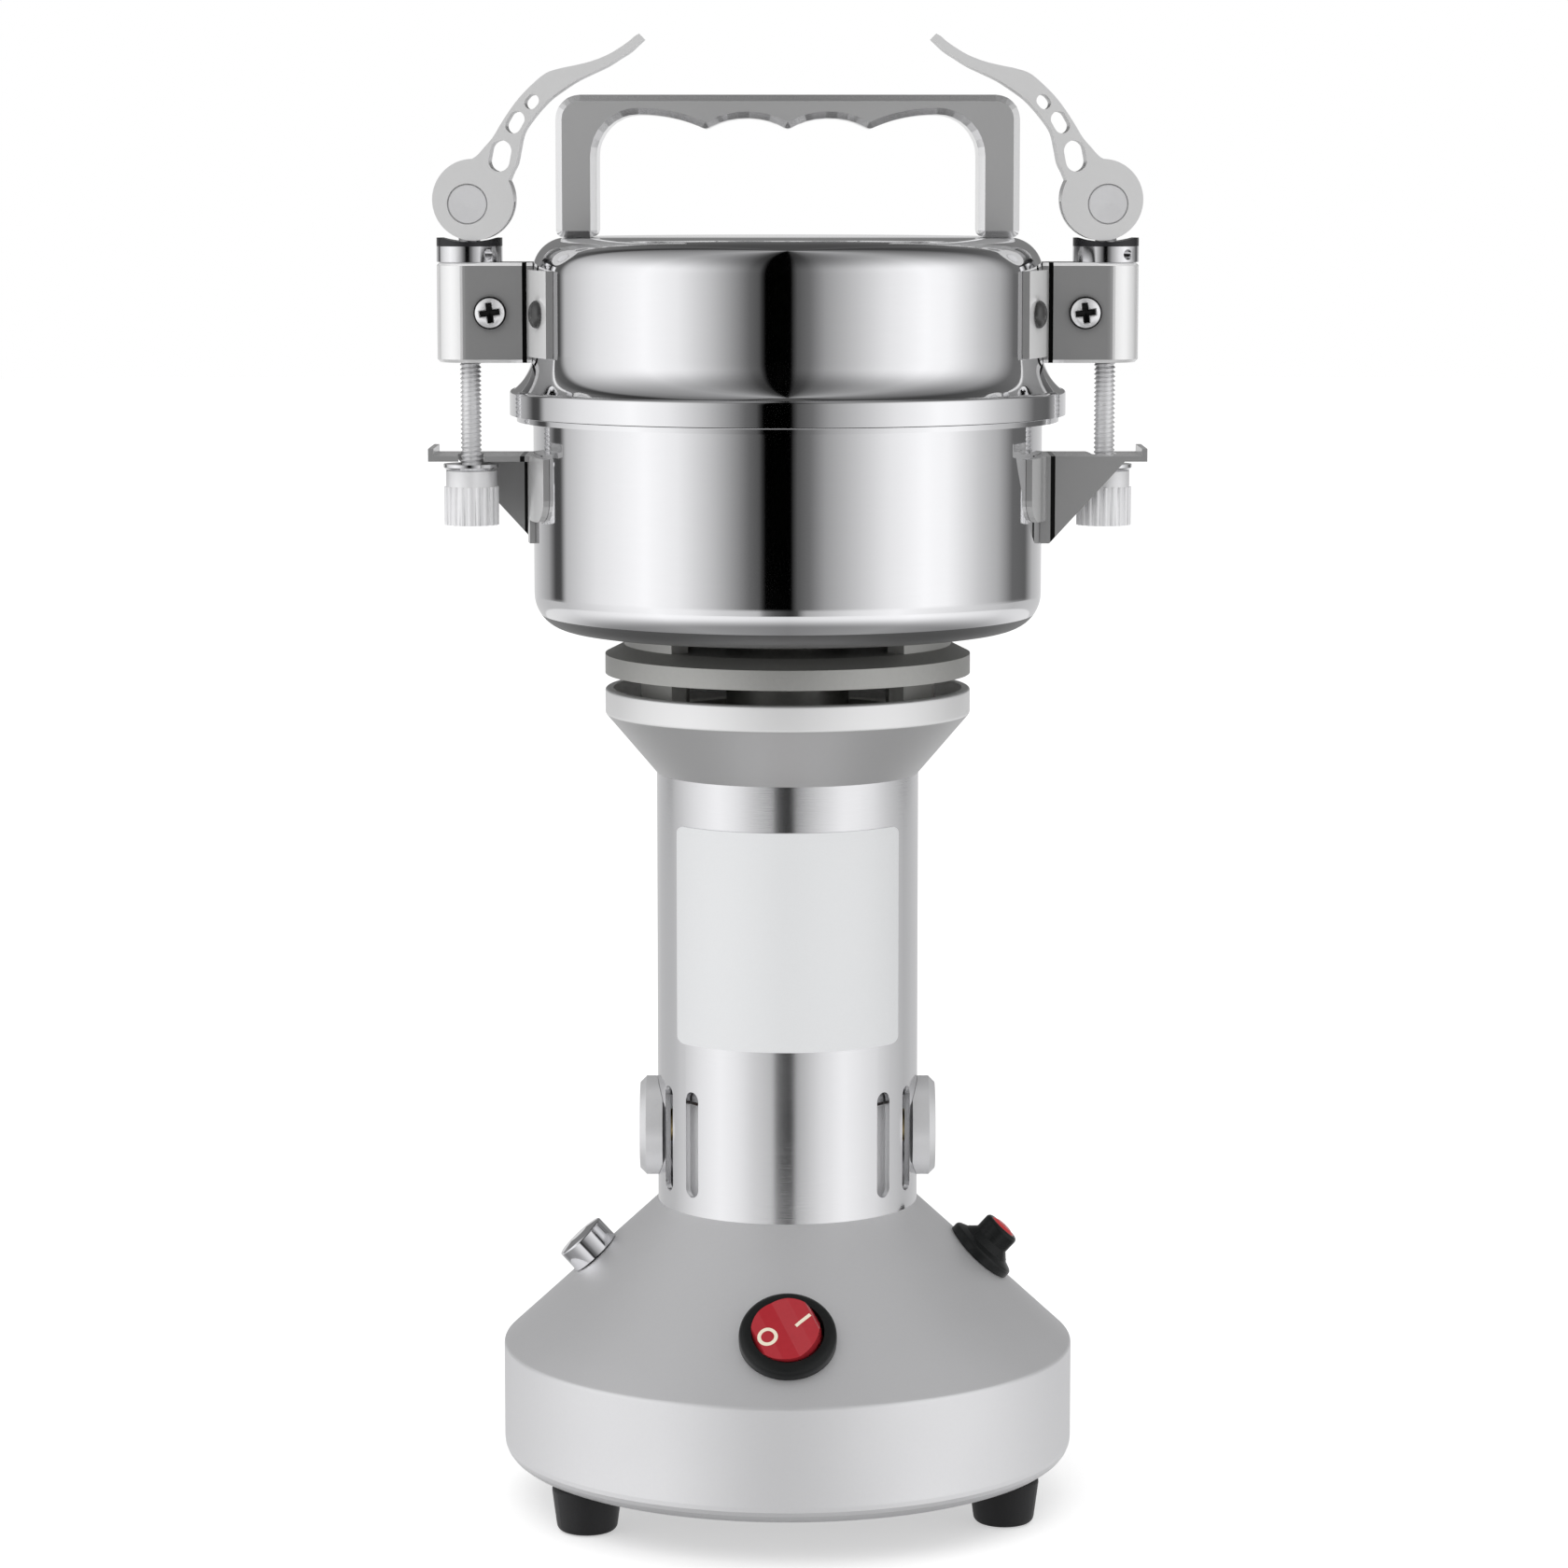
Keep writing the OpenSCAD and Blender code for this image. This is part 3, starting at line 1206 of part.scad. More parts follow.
// Points along the outer and the inner edge of the arm, as shares of its reach and its rise
outer_shares = [
    [-0.061, 0.217], [0.016, 0.256], [0.071, 0.316], [0.119, 0.374], [0.164, 0.451], [0.22, 0.539],
    [0.278, 0.616], [0.352, 0.693], [0.426, 0.754], [0.503, 0.781], [0.595, 0.801], [0.688, 0.825],
    [0.783, 0.864], [0.85, 0.905], [0.905, 0.945], [0.935, 0.972], [0.962, 0.988]
];
inner_shares = [
    [0.2, 0.1], [0.226, 0.165], [0.25, 0.215], [0.267, 0.3], [0.29, 0.399], [0.338, 0.476],
    [0.393, 0.545], [0.449, 0.603], [0.526, 0.661], [0.6, 0.71], [0.676, 0.749], [0.775, 0.797],
    [0.85, 0.846], [0.908, 0.884], [0.955, 0.928], [0.988, 0.96]
];
// Lightening holes as shares: place along the reach and rise, half width and stretch in arm widths
hole_shares = [[0.158, 0.262, 0.46, 0.22], [0.246, 0.462, 0.34, 0.16], [0.343, 0.584, 0.27, 0.07]];
hole_turns = [79, 60, 50];

function arm_edge(shares) = smooth([for (s = shares) [s[0] * lever_reach, s[1] * lever_rise]]);
function backwards(list) = [for (i = [len(list) - 1:-1:0]) list[i]];

module cam_lever() color("#c0c0c2") difference() {
    union() {
        translate([cam_x, 0, cam_z]) along_y(-lever_w / 2, cam_r, lever_w);
        translate([cam_x, lever_w / 2, cam_z]) rotate([90, 0, 0]) linear_extrude(lever_w)
            polygon(concat(arm_edge(inner_shares), backwards(arm_edge(outer_shares))));
    }
    translate([0, 0, z_pin]) {
        along_y(-eye_t / 2 - fork_gap, fork_r, eye_t + 2 * fork_gap);
        along_y(-lever_w, pin_r + run, 2 * lever_w);
        along_y(-lever_w, dimple_r, lever_w / 2 + dimple_deep);
        along_y(lever_w / 2 - dimple_deep, dimple_r, lever_w);
    }
    for (i = [0:len(hole_shares) - 1]) let (h = hole_shares[i])
        translate([cam_x + h[0] * lever_reach, 0, cam_z + h[1] * lever_rise]) rotate([0, -hole_turns[i], 0]) {
            for (e = [-1, 1]) translate([e * h[3] * arm_w, 0, 0])
                along_y(-lever_w, h[2] * arm_w, 2 * lever_w);
            block(-h[3] * arm_w, h[3] * arm_w, -lever_w, lever_w, -h[2] * arm_w, h[2] * arm_w);
        }
}

module cam_lever_left() at_latch(false) cam_lever();
module cam_lever_right() at_latch(true) cam_lever();

// A pin with a flat dished head sunk in each face of the lever
module pivot_pin() color("#b9b9bb") translate([0, 0, z_pin]) difference() {
    union() {
        along_y(pin_head_sunk - lever_w / 2, pin_r, lever_w - 2 * pin_head_sunk);
        for (s = [0, 180]) rotate([0, 0, s])
            along_y(pin_head_sunk - lever_w / 2, dimple_r - gap, dimple_deep - pin_head_sunk - seat);
    }
    for (s = [0, 180]) rotate([0, 0, s]) translate([0, pin_head_sunk - lever_w / 2, 0])
        rotate([-90, 0, 0]) cylinder(r1 = dimple_r - 2 * gap, r2 = 0, h = pin_dish);
}

module pivot_pin_left() at_latch(false) pivot_pin();
module pivot_pin_right() at_latch(true) pivot_pin();

module clamp_bolt() color("#9a9a9c") difference() {
    union() {
        translate([0, 0, bolt_foot]) cylinder(r = bolt_r, h = z_pin - bolt_foot - pin_r);
        translate([0, 0, z_pin]) along_y(-eye_t / 2, eye_r, eye_t);
    }
    translate([0, 0, z_pin]) along_y(-eye_t, pin_r + seat / 2, 2 * eye_t);
}

module clamp_bolt_left() at_latch(false) clamp_bolt();
module clamp_bolt_right() at_latch(true) clamp_bolt();

// Thumb nut and its washer, which stop just under the hook shelf while the lever is open
clamp_gap = 1;
nut_washer_r = 6.1;
nut_washer_t = 1.4;
nut_washer_bevel = 0.7;
nut_neck_r = 5.6;
nut_neck_h = 3.5;
nut_barrel_h = 8.4;
nut_ribs = 20;
nut_rib_r = 0.45;
z_nut_washer = z_shelf - hook_t - clamp_gap - nut_washer_t;
z_nut_neck = z_nut_washer - seat - nut_neck_h;

module nut_washer() color("#b4b4b7") translate([0, 0, z_nut_washer]) difference() {
    union() {
        cylinder(r1 = nut_washer_r - nut_washer_bevel, r2 = nut_washer_r, h = nut_washer_bevel);
        translate([0, 0, nut_washer_bevel]) cylinder(r = nut_washer_r, h = nut_washer_t - nut_washer_bevel);
    }
    translate([0, 0, -over]) cylinder(r = bolt_r + run, h = nut_washer_t + 2 * over);
}
module nut_washer_left() at_latch(false) nut_washer();
module nut_washer_right() at_latch(true) nut_washer();

module thumb_nut() color("#c6c6c9") difference() {
    union() {
        translate([0, 0, z_nut_neck]) cylinder(r = nut_neck_r, h = nut_neck_h);
        translate([0, 0, z_nut_neck - nut_barrel_h]) cylinder(r = nut_r - nut_rib_r, h = nut_barrel_h);
        around(nut_ribs) translate([nut_r - nut_rib_r, 0, z_nut_neck - nut_barrel_h])
            cylinder(r = nut_rib_r, h = nut_barrel_h);
    }
    translate([0, 0, z_nut_neck - nut_barrel_h - over])
        cylinder(r = bolt_r + run, h = nut_barrel_h + nut_neck_h + 2 * over);
}

module thumb_nut_left() at_latch(false) thumb_nut();
module thumb_nut_right() at_latch(true) thumb_nut();

base_shell();
bottom_plate();
rubber_feet();
foot_screws();
switch_housing();
rocker();
overload_breaker();
reset_nut();
reset_button();
fuse_holder();
fuse();
fuse_cap();
cord_bush();
barrel();
label_plate();
brush_bosses();
brush_caps();
brush_tubes();
carbon_brushes();
brush_springs();
stator_core();
field_windings();
bearing_bracket();
bearings();
shaft();
armature();
commutator();
cooling_fan();
blade_spacer();
lower_blade();
upper_blade();
blade_nut();
collar();
bowl_carrier();
carrier_screws();
bowl();
shaft_seal();
hook_bracket_left();
hook_bracket_right();
lid_shell();
lid_gasket();
handle();
handle_screws();
latch_strap_left();
latch_strap_right();
latch_guides();
latch_screws();
latch_collars();
cam_washers();
clamp_bolt_left();
clamp_bolt_right();
pivot_pin_left();
pivot_pin_right();
cam_lever_left();
cam_lever_right();
nut_washer_left();
nut_washer_right();
thumb_nut_left();
thumb_nut_right();
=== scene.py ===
import math

import bmesh
import bpy
from bpy.props import FloatProperty, FloatVectorProperty, IntProperty, PointerProperty
from mathutils import Matrix, Vector
from mathutils.bvhtree import BVHTree


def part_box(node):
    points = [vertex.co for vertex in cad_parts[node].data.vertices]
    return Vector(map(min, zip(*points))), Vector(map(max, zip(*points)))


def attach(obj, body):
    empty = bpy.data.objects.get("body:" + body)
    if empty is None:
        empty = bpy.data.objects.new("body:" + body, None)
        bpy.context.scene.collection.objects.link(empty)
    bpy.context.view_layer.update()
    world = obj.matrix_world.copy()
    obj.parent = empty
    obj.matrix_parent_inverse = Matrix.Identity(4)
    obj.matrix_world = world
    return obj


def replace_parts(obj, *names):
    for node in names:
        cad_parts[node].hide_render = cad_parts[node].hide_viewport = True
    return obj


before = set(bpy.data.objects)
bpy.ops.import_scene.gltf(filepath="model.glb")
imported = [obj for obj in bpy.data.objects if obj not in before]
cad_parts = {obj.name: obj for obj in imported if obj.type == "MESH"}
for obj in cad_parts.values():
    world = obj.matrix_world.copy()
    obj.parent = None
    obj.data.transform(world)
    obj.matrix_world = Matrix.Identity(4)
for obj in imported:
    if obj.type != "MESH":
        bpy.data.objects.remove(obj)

bl_info = {
    "name": "Electric Coffee Grinder",
    "version": (1, 0, 0),
    "blender": (4, 5, 0),
    "location": "View3D > Sidebar > Grinder",
    "description": "Finishes, fine fittings and a studio for a clamp-lid electric coffee grinder",
    "category": "Add Mesh",
}

SIDES = ("left", "right")
LENGTH = {"subtype": "DISTANCE", "unit": "LENGTH"}
WELD = 1e-7  # m: points nearer to each other than this become one
# The two inputs and the output that a Mix node uses for colours and for plain values
MIX_SOCKETS = {"RGBA": (6, 7, 2), "FLOAT": (2, 3, 0)}

# Brightness of the studio as polished steel shows it, at degrees round from the camera's side:
# panels at the sides and dark flags between them. One list each for rays that rise or lie level,
# for rays that fall to the table, and for rays that meet it near the grinder's foot.
HIGH_STOPS = (
    (-180, 0.8), (-150, 0.5), (-138, 0.34), (-130, 0.06), (-124, 0.06), (-119, 0.48), (-96, 0.78),
    (-67, 1.0), (-50, 0.85), (-34, 0.53), (-26, 0.34), (-17, 0.13), (-12.5, 0.08), (-10.5, 0.0),
    (2, 0.0), (3.5, 0.08), (10, 0.15), (17, 0.33), (30, 0.54), (45, 0.8), (64, 1.0), (76, 0.94),
    (96, 0.58), (109, 0.42), (122, 0.13), (136, 0.11), (146, 0.45), (180, 0.8))
LOW_STOPS = (
    (-180, 0.65), (-141, 0.5), (-120, 0.5), (-82, 0.84), (-62, 0.97), (-44, 0.85), (-30, 0.66),
    (-13, 0.5), (-10.5, 0.2), (-6, 0.09), (1, 0.03), (4, 0.06), (8, 0.4), (18, 0.57), (30, 0.76),
    (50, 0.95), (80, 0.77), (101, 0.6), (125, 0.47), (180, 0.65))
FOOT_STOPS = (
    (-180, 0.8), (-120, 0.7), (-60, 1.0), (-25, 0.85), (0, 0.72), (25, 0.85), (60, 1.0),
    (120, 0.7), (180, 0.8))


# Mesh helpers
def piece(name, bm, material, body, smooth=45):
    """Turns a bmesh in metres into an object that rides on a body, smooth up to an angle."""
    bmesh.ops.recalc_face_normals(bm, faces=bm.faces)
    mesh = bpy.data.meshes.new(name)
    bm.to_mesh(mesh)
    bm.free()
    obj = bpy.data.objects.new(name, mesh)
    bpy.context.scene.collection.objects.link(obj)
    mesh.materials.append(material)
    for face in mesh.polygons:
        face.use_smooth = True
    mesh.set_sharp_from_angle(angle=math.radians(smooth))
    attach(obj, body)
    return obj


def circle(radius, steps):
    """Points round the origin, from the X axis on."""
    angles = [2 * math.pi * k / steps for k in range(steps)]
    return [(radius * math.cos(a), radius * math.sin(a)) for a in angles]


def bridge(bm, a, b):
    """Faces between two rings of points, where a ring may be a single point."""
    if len(a) == len(b) == 1:
        return
    count = max(len(a), len(b))
    for k in range(count):
        n = (k + 1) % count
        if len(a) == 1:
            bm.faces.new((a[0], b[k], b[n]))
        elif len(b) == 1:
            bm.faces.new((a[k], b[0], a[n]))
        else:
            bm.faces.new((a[k], b[k], b[n], a[n]))


def lathe(bm, profile, place, steps=48):
    """Revolves (radius, height) points about local Z, set in place by a matrix."""
    rings = []
    for r, h in profile:
        around = circle(r, steps) if r >= 1e-9 else [(0, 0)]
        rings.append([bm.verts.new(place @ Vector((x, y, h))) for x, y in around])
    for a, b in zip(rings, rings[1:]):
        bridge(bm, a, b)


def along(origin, direction):
    """A matrix that lays local Z along a direction."""
    turn = Vector((0, 0, 1)).rotation_difference(Vector(direction).normalized())
    return Matrix.Translation(Vector(origin)) @ turn.to_matrix().to_4x4()


def outline(corners, steps=14):
    """Closed profile from (radius, height, fillet) corners: each fillet becomes a fine arc."""
    points = []
    for k, (x, z, fillet) in enumerate(corners):
        here = Vector((x, z))
        if not fillet:
            points.append(tuple(here))
            continue
        before, after = (Vector(corners[(k + d) % len(corners)][:2]) for d in (-1, 1))
        u, v = (before - here).normalized(), (after - here).normalized()
        half = u.angle(v) / 2
        centre = here + (u + v).normalized() * fillet / math.sin(half)
        first = here + u * fillet / math.tan(half) - centre
        turn = (math.pi - 2 * half) * (1 if u.x * v.y - u.y * v.x < 0 else -1)
        for j in range(steps + 1):
            a = turn * j / steps
            points.append((centre.x + first.x * math.cos(a) - first.y * math.sin(a),
                           centre.y + first.x * math.sin(a) + first.y * math.cos(a)))
    return points + points[:1]


# Node helpers
def grey(value):
    return (value, value, value, 1.0)


def feed(tree, value, entry):
    """Links an output to an input, or gives the input its own value."""
    if isinstance(value, bpy.types.NodeSocket):
        tree.links.new(value, entry)
    else:
        entry.default_value = value


def given(entry):
    """What an input has now: the output linked to it, or its own value."""
    return entry.links[0].from_socket if entry.links else entry.default_value


def node(tree, kind, inputs=(), **properties):
    """Adds a shader node, sets its properties and feeds its inputs, by name or in order."""
    made = tree.nodes.new("ShaderNode" + kind)
    for name, value in properties.items():
        setattr(made, name, value)
    for key, value in inputs.items() if isinstance(inputs, dict) else enumerate(inputs):
        feed(tree, value, made.inputs[key])
    return made


def calc(tree, operation, *values):
    return node(tree, "Math", values, operation=operation).outputs[0]


def mixed(tree, kind, factor, a, b, blend="MIX"):
    """Mixes two colours or two plain values; a number among colours stands for a grey."""
    if kind == "RGBA":
        a, b = (grey(value) if isinstance(value, (int, float)) else value for value in (a, b))
    first, second, out = MIX_SOCKETS[kind]
    inputs = {0: factor, first: a, second: b}
    return node(tree, "Mix", inputs, data_type=kind, blend_type=blend).outputs[out]


# Shared node groups
def group(name, outputs, inputs):
    """An empty node group: its tree, the sockets that feed it and those that it feeds."""
    tree = bpy.data.node_groups.new(name, "ShaderNodeTree")
    for label, kind, value in inputs:
        socket = tree.interface.new_socket(label, in_out="INPUT", socket_type="NodeSocket" + kind)
        socket.default_value = value
    for label, kind in outputs:
        tree.interface.new_socket(label, in_out="OUTPUT", socket_type="NodeSocket" + kind)
    source, result = tree.nodes.new("NodeGroupInput"), tree.nodes.new("NodeGroupOutput")
    return tree, source.outputs, result.inputs


def grain_group():
    """Stretched noise: brushed lines or a fine skin, as a mask, a tint and a bumped normal."""
    tree, source, result = group(
        "surface_grain",
        (("Mask", "Float"), ("Tint", "Color"), ("Normal", "Vector")),
        (("Stretch", "Vector", (1.0, 1.0, 1.0)), ("Scale", "Float", 400.0),
         ("Bump", "Float", 0.1), ("Depth", "Float", 0.0001),
         ("Color", "Color", (0.8, 0.8, 0.8, 1.0)), ("Variation", "Float", 0.05)))
    where = node(tree, "TexCoord").outputs["Object"]
    spread = node(tree, "VectorMath", (where, source["Stretch"]), operation="MULTIPLY")
    noise = node(tree, "TexNoise", {"Vector": spread.outputs[0], "Scale": source["Scale"],
                                    "Detail": 4.0, "Roughness": 0.6}).outputs["Fac"]
    bump = node(tree, "Bump", {"Strength": source["Bump"], "Distance": source["Depth"],
                               "Height": noise})
    share = calc(tree, "MULTIPLY_ADD", calc(tree, "SUBTRACT", noise, 0.5), source["Variation"], 1.0)
    tint = node(tree, "VectorMath", {0: source["Color"], "Scale": share}, operation="SCALE")
    feed(tree, noise, result["Mask"])
    feed(tree, tint.outputs[0], result["Tint"])
    feed(tree, bump.outputs["Normal"], result["Normal"])
    return tree


def patches_group():
    """Soft large patches for uneven gloss, as a value between two limits."""
    tree, source, result = group(
        "gloss_patches", (("Value", "Float"),),
        (("Low", "Float", 0.2), ("High", "Float", 0.3), ("Scale", "Float", 30.0)))
    where = node(tree, "TexCoord").outputs["Object"]
    noise = node(tree, "TexNoise", {"Vector": where, "Scale": source["Scale"],
                                    "Detail": 3.0}).outputs["Fac"]
    spread = node(tree, "MapRange", {"Value": noise, "From Min": 0.35, "From Max": 0.65,
                                     "To Min": source["Low"], "To Max": source["High"]})
    feed(tree, spread.outputs["Result"], result["Value"])
    return tree


def facing_group():
    """1 on faces whose own normal lies along the given axis, 0 elsewhere, with a soft step."""
    tree, source, result = group(
        "facing_axis", (("Mask", "Float"),),
        (("Axis", "Vector", (0.0, 1.0, 0.0)), ("From", "Float", 0.93), ("To", "Float", 0.97)))
    normal = node(tree, "NewGeometry").outputs["True Normal"]
    local = node(tree, "VectorTransform", {"Vector": normal}, vector_type="NORMAL",
                 convert_from="WORLD", convert_to="OBJECT").outputs["Vector"]
    dot = node(tree, "VectorMath", (local, source["Axis"]), operation="DOT_PRODUCT")
    step = node(tree, "MapRange", {"Value": calc(tree, "ABSOLUTE", dot.outputs["Value"]),
                                   "From Min": source["From"], "From Max": source["To"]})
    feed(tree, step.outputs["Result"], result["Mask"])
    return tree


def place_group():
    """1 where the distance from the middle plane across a local axis lies between two limits."""
    tree, source, result = group(
        "place_band", (("Mask", "Float"),),
        (("Axis", "Vector", (1.0, 0.0, 0.0)), ("Low", "Float", 0.0), ("High", "Float", 0.0)))
    where = node(tree, "TexCoord").outputs["Object"]
    dot = node(tree, "VectorMath", (where, source["Axis"]), operation="DOT_PRODUCT")
    away = calc(tree, "ABSOLUTE", dot.outputs["Value"])
    inside = calc(tree, "MULTIPLY", calc(tree, "GREATER_THAN", away, source["Low"]),
                  calc(tree, "LESS_THAN", away, source["High"]))
    feed(tree, inside, result["Mask"])
    return tree


GROUPS = {}


def use(tree, name, **values):
    """Adds a shared group to a material's tree, with its inputs set, and gives its outputs."""
    if not GROUPS:
        GROUPS.update(grain=grain_group(), patches=patches_group(), facing=facing_group(),
                      place=place_group())
    return node(tree, "Group", values, node_tree=GROUPS[name]).outputs


# Materials
def finish(name, color, metallic, rough, stretch=(1, 1, 1), scale=400.0, bump=0.1, depth=0.0001,
           variation=0.06, ior=1.45, coat=0.0, sheen=0.0, transmission=0.0, patch=30.0):
    """A material whose tint, gloss and normal come from the shared grain and patches."""
    material = bpy.data.materials.new(name)
    material.use_nodes = True
    tree = material.node_tree
    grain = use(tree, "grain", Stretch=stretch, Scale=scale, Bump=bump, Depth=depth,
                Color=(*color, 1.0), Variation=variation)
    gloss = use(tree, "patches", Low=rough[0], High=rough[1], Scale=patch)
    shader = tree.nodes["Principled BSDF"]
    for label, value in (
            ("Base Color", grain["Tint"]), ("Roughness", gloss["Value"]),
            ("Normal", grain["Normal"]), ("Metallic", metallic), ("IOR", ior),
            ("Coat Weight", coat), ("Sheen Weight", sheen), ("Transmission Weight", transmission)):
        feed(tree, value, shader.inputs[label])
    return material


def two_finish(name, flat, other, start=0.93, end=0.97, bump=0.02, axis=(0, 1, 0)):
    """A metal with one grey, roughness and metal share on the faces along a local axis and another
    on all its other faces. On the handle, the straps and the brackets the two greys are painted
    light: a painted highlight on the other faces, and on the sheets painted shade on the flats as
    well.

    flat and other are (grey, roughness, metallic)."""
    material = finish(name, (flat[0],) * 3, flat[2], (flat[1], flat[1] + 0.04), scale=900.0,
                      bump=bump, variation=0.03)
    tree = material.node_tree
    mask = use(tree, "facing", Axis=axis, From=start, To=end)["Mask"]
    sockets = (("Base Color", "RGBA"), ("Roughness", "FLOAT"), ("Metallic", "FLOAT"))
    for (label, kind), edge in zip(sockets, other):
        entry = tree.nodes["Principled BSDF"].inputs[label]
        feed(tree, mixed(tree, kind, mask, edge, given(entry)), entry)
    return material


def zone(material, label, value, axis, low, high):
    """Gives one input another value between two distances from a middle plane."""
    tree = material.node_tree
    entry = tree.nodes["Principled BSDF"].inputs[label]
    mask = use(tree, "place", Axis=axis, Low=low, High=high)["Mask"]
    kind = "RGBA" if label == "Base Color" else "FLOAT"
    feed(tree, mixed(tree, kind, mask, given(entry), value), entry)


def dress(material, *nodes):
    """Gives CAD nodes a material and leaves their meshes as they are."""
    for name in nodes:
        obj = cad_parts[name]
        obj.data.materials.clear()
        obj.data.materials.append(material)


def both(name):
    """The names of a left and a right node."""
    return [f"{name}_{side}" for side in SIDES]


# Settings
class StageSettings(bpy.types.PropertyGroup):
    """Camera and light of the studio"""
    camera_place: FloatVectorProperty(
        name="Camera place", description="Where the camera stands", size=3, subtype="TRANSLATION",
        default=(-0.0008, -1.03306, 0.29424))
    camera_pitch: FloatProperty(
        name="Pitch", description="How far the camera looks down", subtype="ANGLE", unit="ROTATION",
        default=math.atan(650 / 5041))
    lens: FloatProperty(
        name="Lens", description="Focal length for a 36 mm wide sensor",
        subtype="DISTANCE_CAMERA", unit="CAMERA", default=36 * 5041.4 / 1680)
    world_level: FloatProperty(
        name="World level", description="Strength of the even light from all round", default=0.8)
    key_level: FloatProperty(
        name="Key level", description="Power of the soft lamp over the front", unit="POWER",
        default=9.0)
    key_place: FloatVectorProperty(
        name="Key place", description="Where the soft lamp hangs", size=3, subtype="TRANSLATION",
        default=(-0.5, -1.3, 1.5))
    key_aim: FloatProperty(
        name="Key aim", description="Height that the soft lamp points at", default=0.15, **LENGTH)
    floor_radius: FloatProperty(
        name="Floor radius", description="Radius of the floor", default=6.0, **LENGTH)
    floor_drop: FloatProperty(
        name="Floor drop", description="Gap between the feet and the floor", default=0.0002,
        **LENGTH)
    floor_lift: FloatProperty(
        name="Floor lift", description="Light that the camera sees the floor give", default=0.5)


class BowlSettings(bpy.types.PropertyGroup):
    """Sheet sizes of the bowl and the lid"""
    wall: FloatProperty(
        name="Wall radius", description="Outer radius of the bowl and of the lid's wall",
        default=0.0557, **LENGTH)
    sheet: FloatProperty(
        name="Sheet", description="Thickness of the spun sheet", default=0.0012, **LENGTH)
    lip: FloatProperty(
        name="Lip", description="Thickness of the bowl's flange and floor", default=0.0015,
        **LENGTH)
    foot: FloatProperty(
        name="Foot corner", description="Corner radius at the bowl's floor", default=0.008,
        **LENGTH)
    corner: FloatProperty(
        name="Lid corner", description="Corner radius at the lid's top", default=0.0076, **LENGTH)
    skirt: FloatProperty(
        name="Skirt", description="Height of the lid's skirt", default=0.0055, **LENGTH)
    flare: FloatProperty(
        name="Flare", description="Height of the hollow flare over the skirt", default=0.0085,
        **LENGTH)
    step: FloatProperty(
        name="Step", description="Width of the step on the skirt", default=0.001, **LENGTH)
    hem: FloatProperty(
        name="Hem", description="Thickness of the skirt", default=0.0011, **LENGTH)
    # painted shade: the dark edge is the bowl's lowest band painted dark grey, with a higher
    # roughness as well
    shade: FloatProperty(
        name="Dark edge", description="Height of the dull edge under the bowl", default=0.0034,
        **LENGTH)
    seat: FloatProperty(
        name="Seat", description="Gap round the shaft seal", default=0.0028, **LENGTH)
    steps: IntProperty(
        name="Steps round", description="Points round the spun pieces", default=160)


class BoltSettings(bpy.types.PropertyGroup):
    """Thread and eye of the clamp bolts"""
    rod: FloatProperty(
        name="Rod radius", description="Radius over the bolt's thread", default=0.00235, **LENGTH)
    pitch: FloatProperty(
        name="Pitch", description="Rise of the bolt thread in one turn", default=0.001, **LENGTH)
    depth: FloatProperty(
        name="Thread depth", description="Depth of the bolt thread", default=0.00042, **LENGTH)
    thread_top: FloatProperty(
        name="Thread top", description="Height at which the thread ends, inside the guide",
        default=0.2545, **LENGTH)
    neck: FloatProperty(
        name="Neck", description="Gap from the end of the rod to the middle of the eye",
        default=0.0022, **LENGTH)
    hole: FloatProperty(
        name="Hole radius", description="Radius of the hole in the eye", default=0.00205, **LENGTH)
    bevel: FloatProperty(
        name="Bevel", description="Bevel round the eye", default=0.0003, **LENGTH)
    steps: IntProperty(
        name="Steps round", description="Points round one turn of thread", default=40)


class ScrewSettings(bpy.types.PropertyGroup):
    """Cross screws, nuts and rivets of the straps"""
    across: FloatProperty(
        name="Across", description="Distance of a cross screw from the middle plane",
        default=0.0646, **LENGTH)
    strap: FloatProperty(
        name="Strap", description="Half the depth of a strap", default=0.0072, **LENGTH)
    head: FloatProperty(
        name="Head radius", description="Radius of a cross screw's head", default=0.00355,
        **LENGTH)
    head_height: FloatProperty(
        name="Head height", description="Height of a cross screw's head", default=0.0022,
        **LENGTH)
    # painted shade: the crosses are painted dark up to this height over the strap
    cross_shade_height: FloatProperty(
        name="Cross depth", description="Height over the strap up to which a cross is dark",
        default=0.0015, **LENGTH)
    cross_turn: FloatProperty(
        name="Cross turn", description="Turn of the crosses", subtype="ANGLE", unit="ROTATION",
        default=0.12)
    shank: FloatProperty(
        name="Shank radius", description="Radius of a cross screw's shank", default=0.002,
        **LENGTH)
    nut: FloatProperty(
        name="Nut radius", description="Radius over a nut's corners", default=0.0039, **LENGTH)
    nut_height: FloatProperty(
        name="Nut height", description="Height of a nut", default=0.0024, **LENGTH)
    nut_hole: FloatProperty(
        name="Nut hole", description="Radius of a nut's hole", default=0.00205, **LENGTH)
    rivet_beside: FloatProperty(
        name="Rivet place", description="Distance of a rivet beside the strap's middle",
        default=0.019, **LENGTH)
    rivet_sheet: FloatProperty(
        name="Rivet sheet", description="Thickness of the strap's foot", default=0.0015, **LENGTH)
    rivet: FloatProperty(
        name="Rivet radius", description="Radius of a rivet's head", default=0.003, **LENGTH)


class SheetSettings(bpy.types.PropertyGroup):
    """Painted shade at the bends of the strap and bracket sheet"""
    # painted shade: the dark crease and the dark root are bands painted dark along the bends
    crease: FloatProperty(
        name="Crease place", description="Distance of the bend's dark crease from the middle plane",
        default=0.05714, **LENGTH)
    crease_width: FloatProperty(
        name="Crease width", description="Width of the dark crease", default=0.001, **LENGTH)
    root: FloatProperty(
        name="Root place", description="Distance of the gusset's dark root from the middle plane",
        default=0.0577, **LENGTH)
    crease_shade_grey: FloatProperty(
        name="Crease grey", description="Grey of the dark crease", default=0.004)


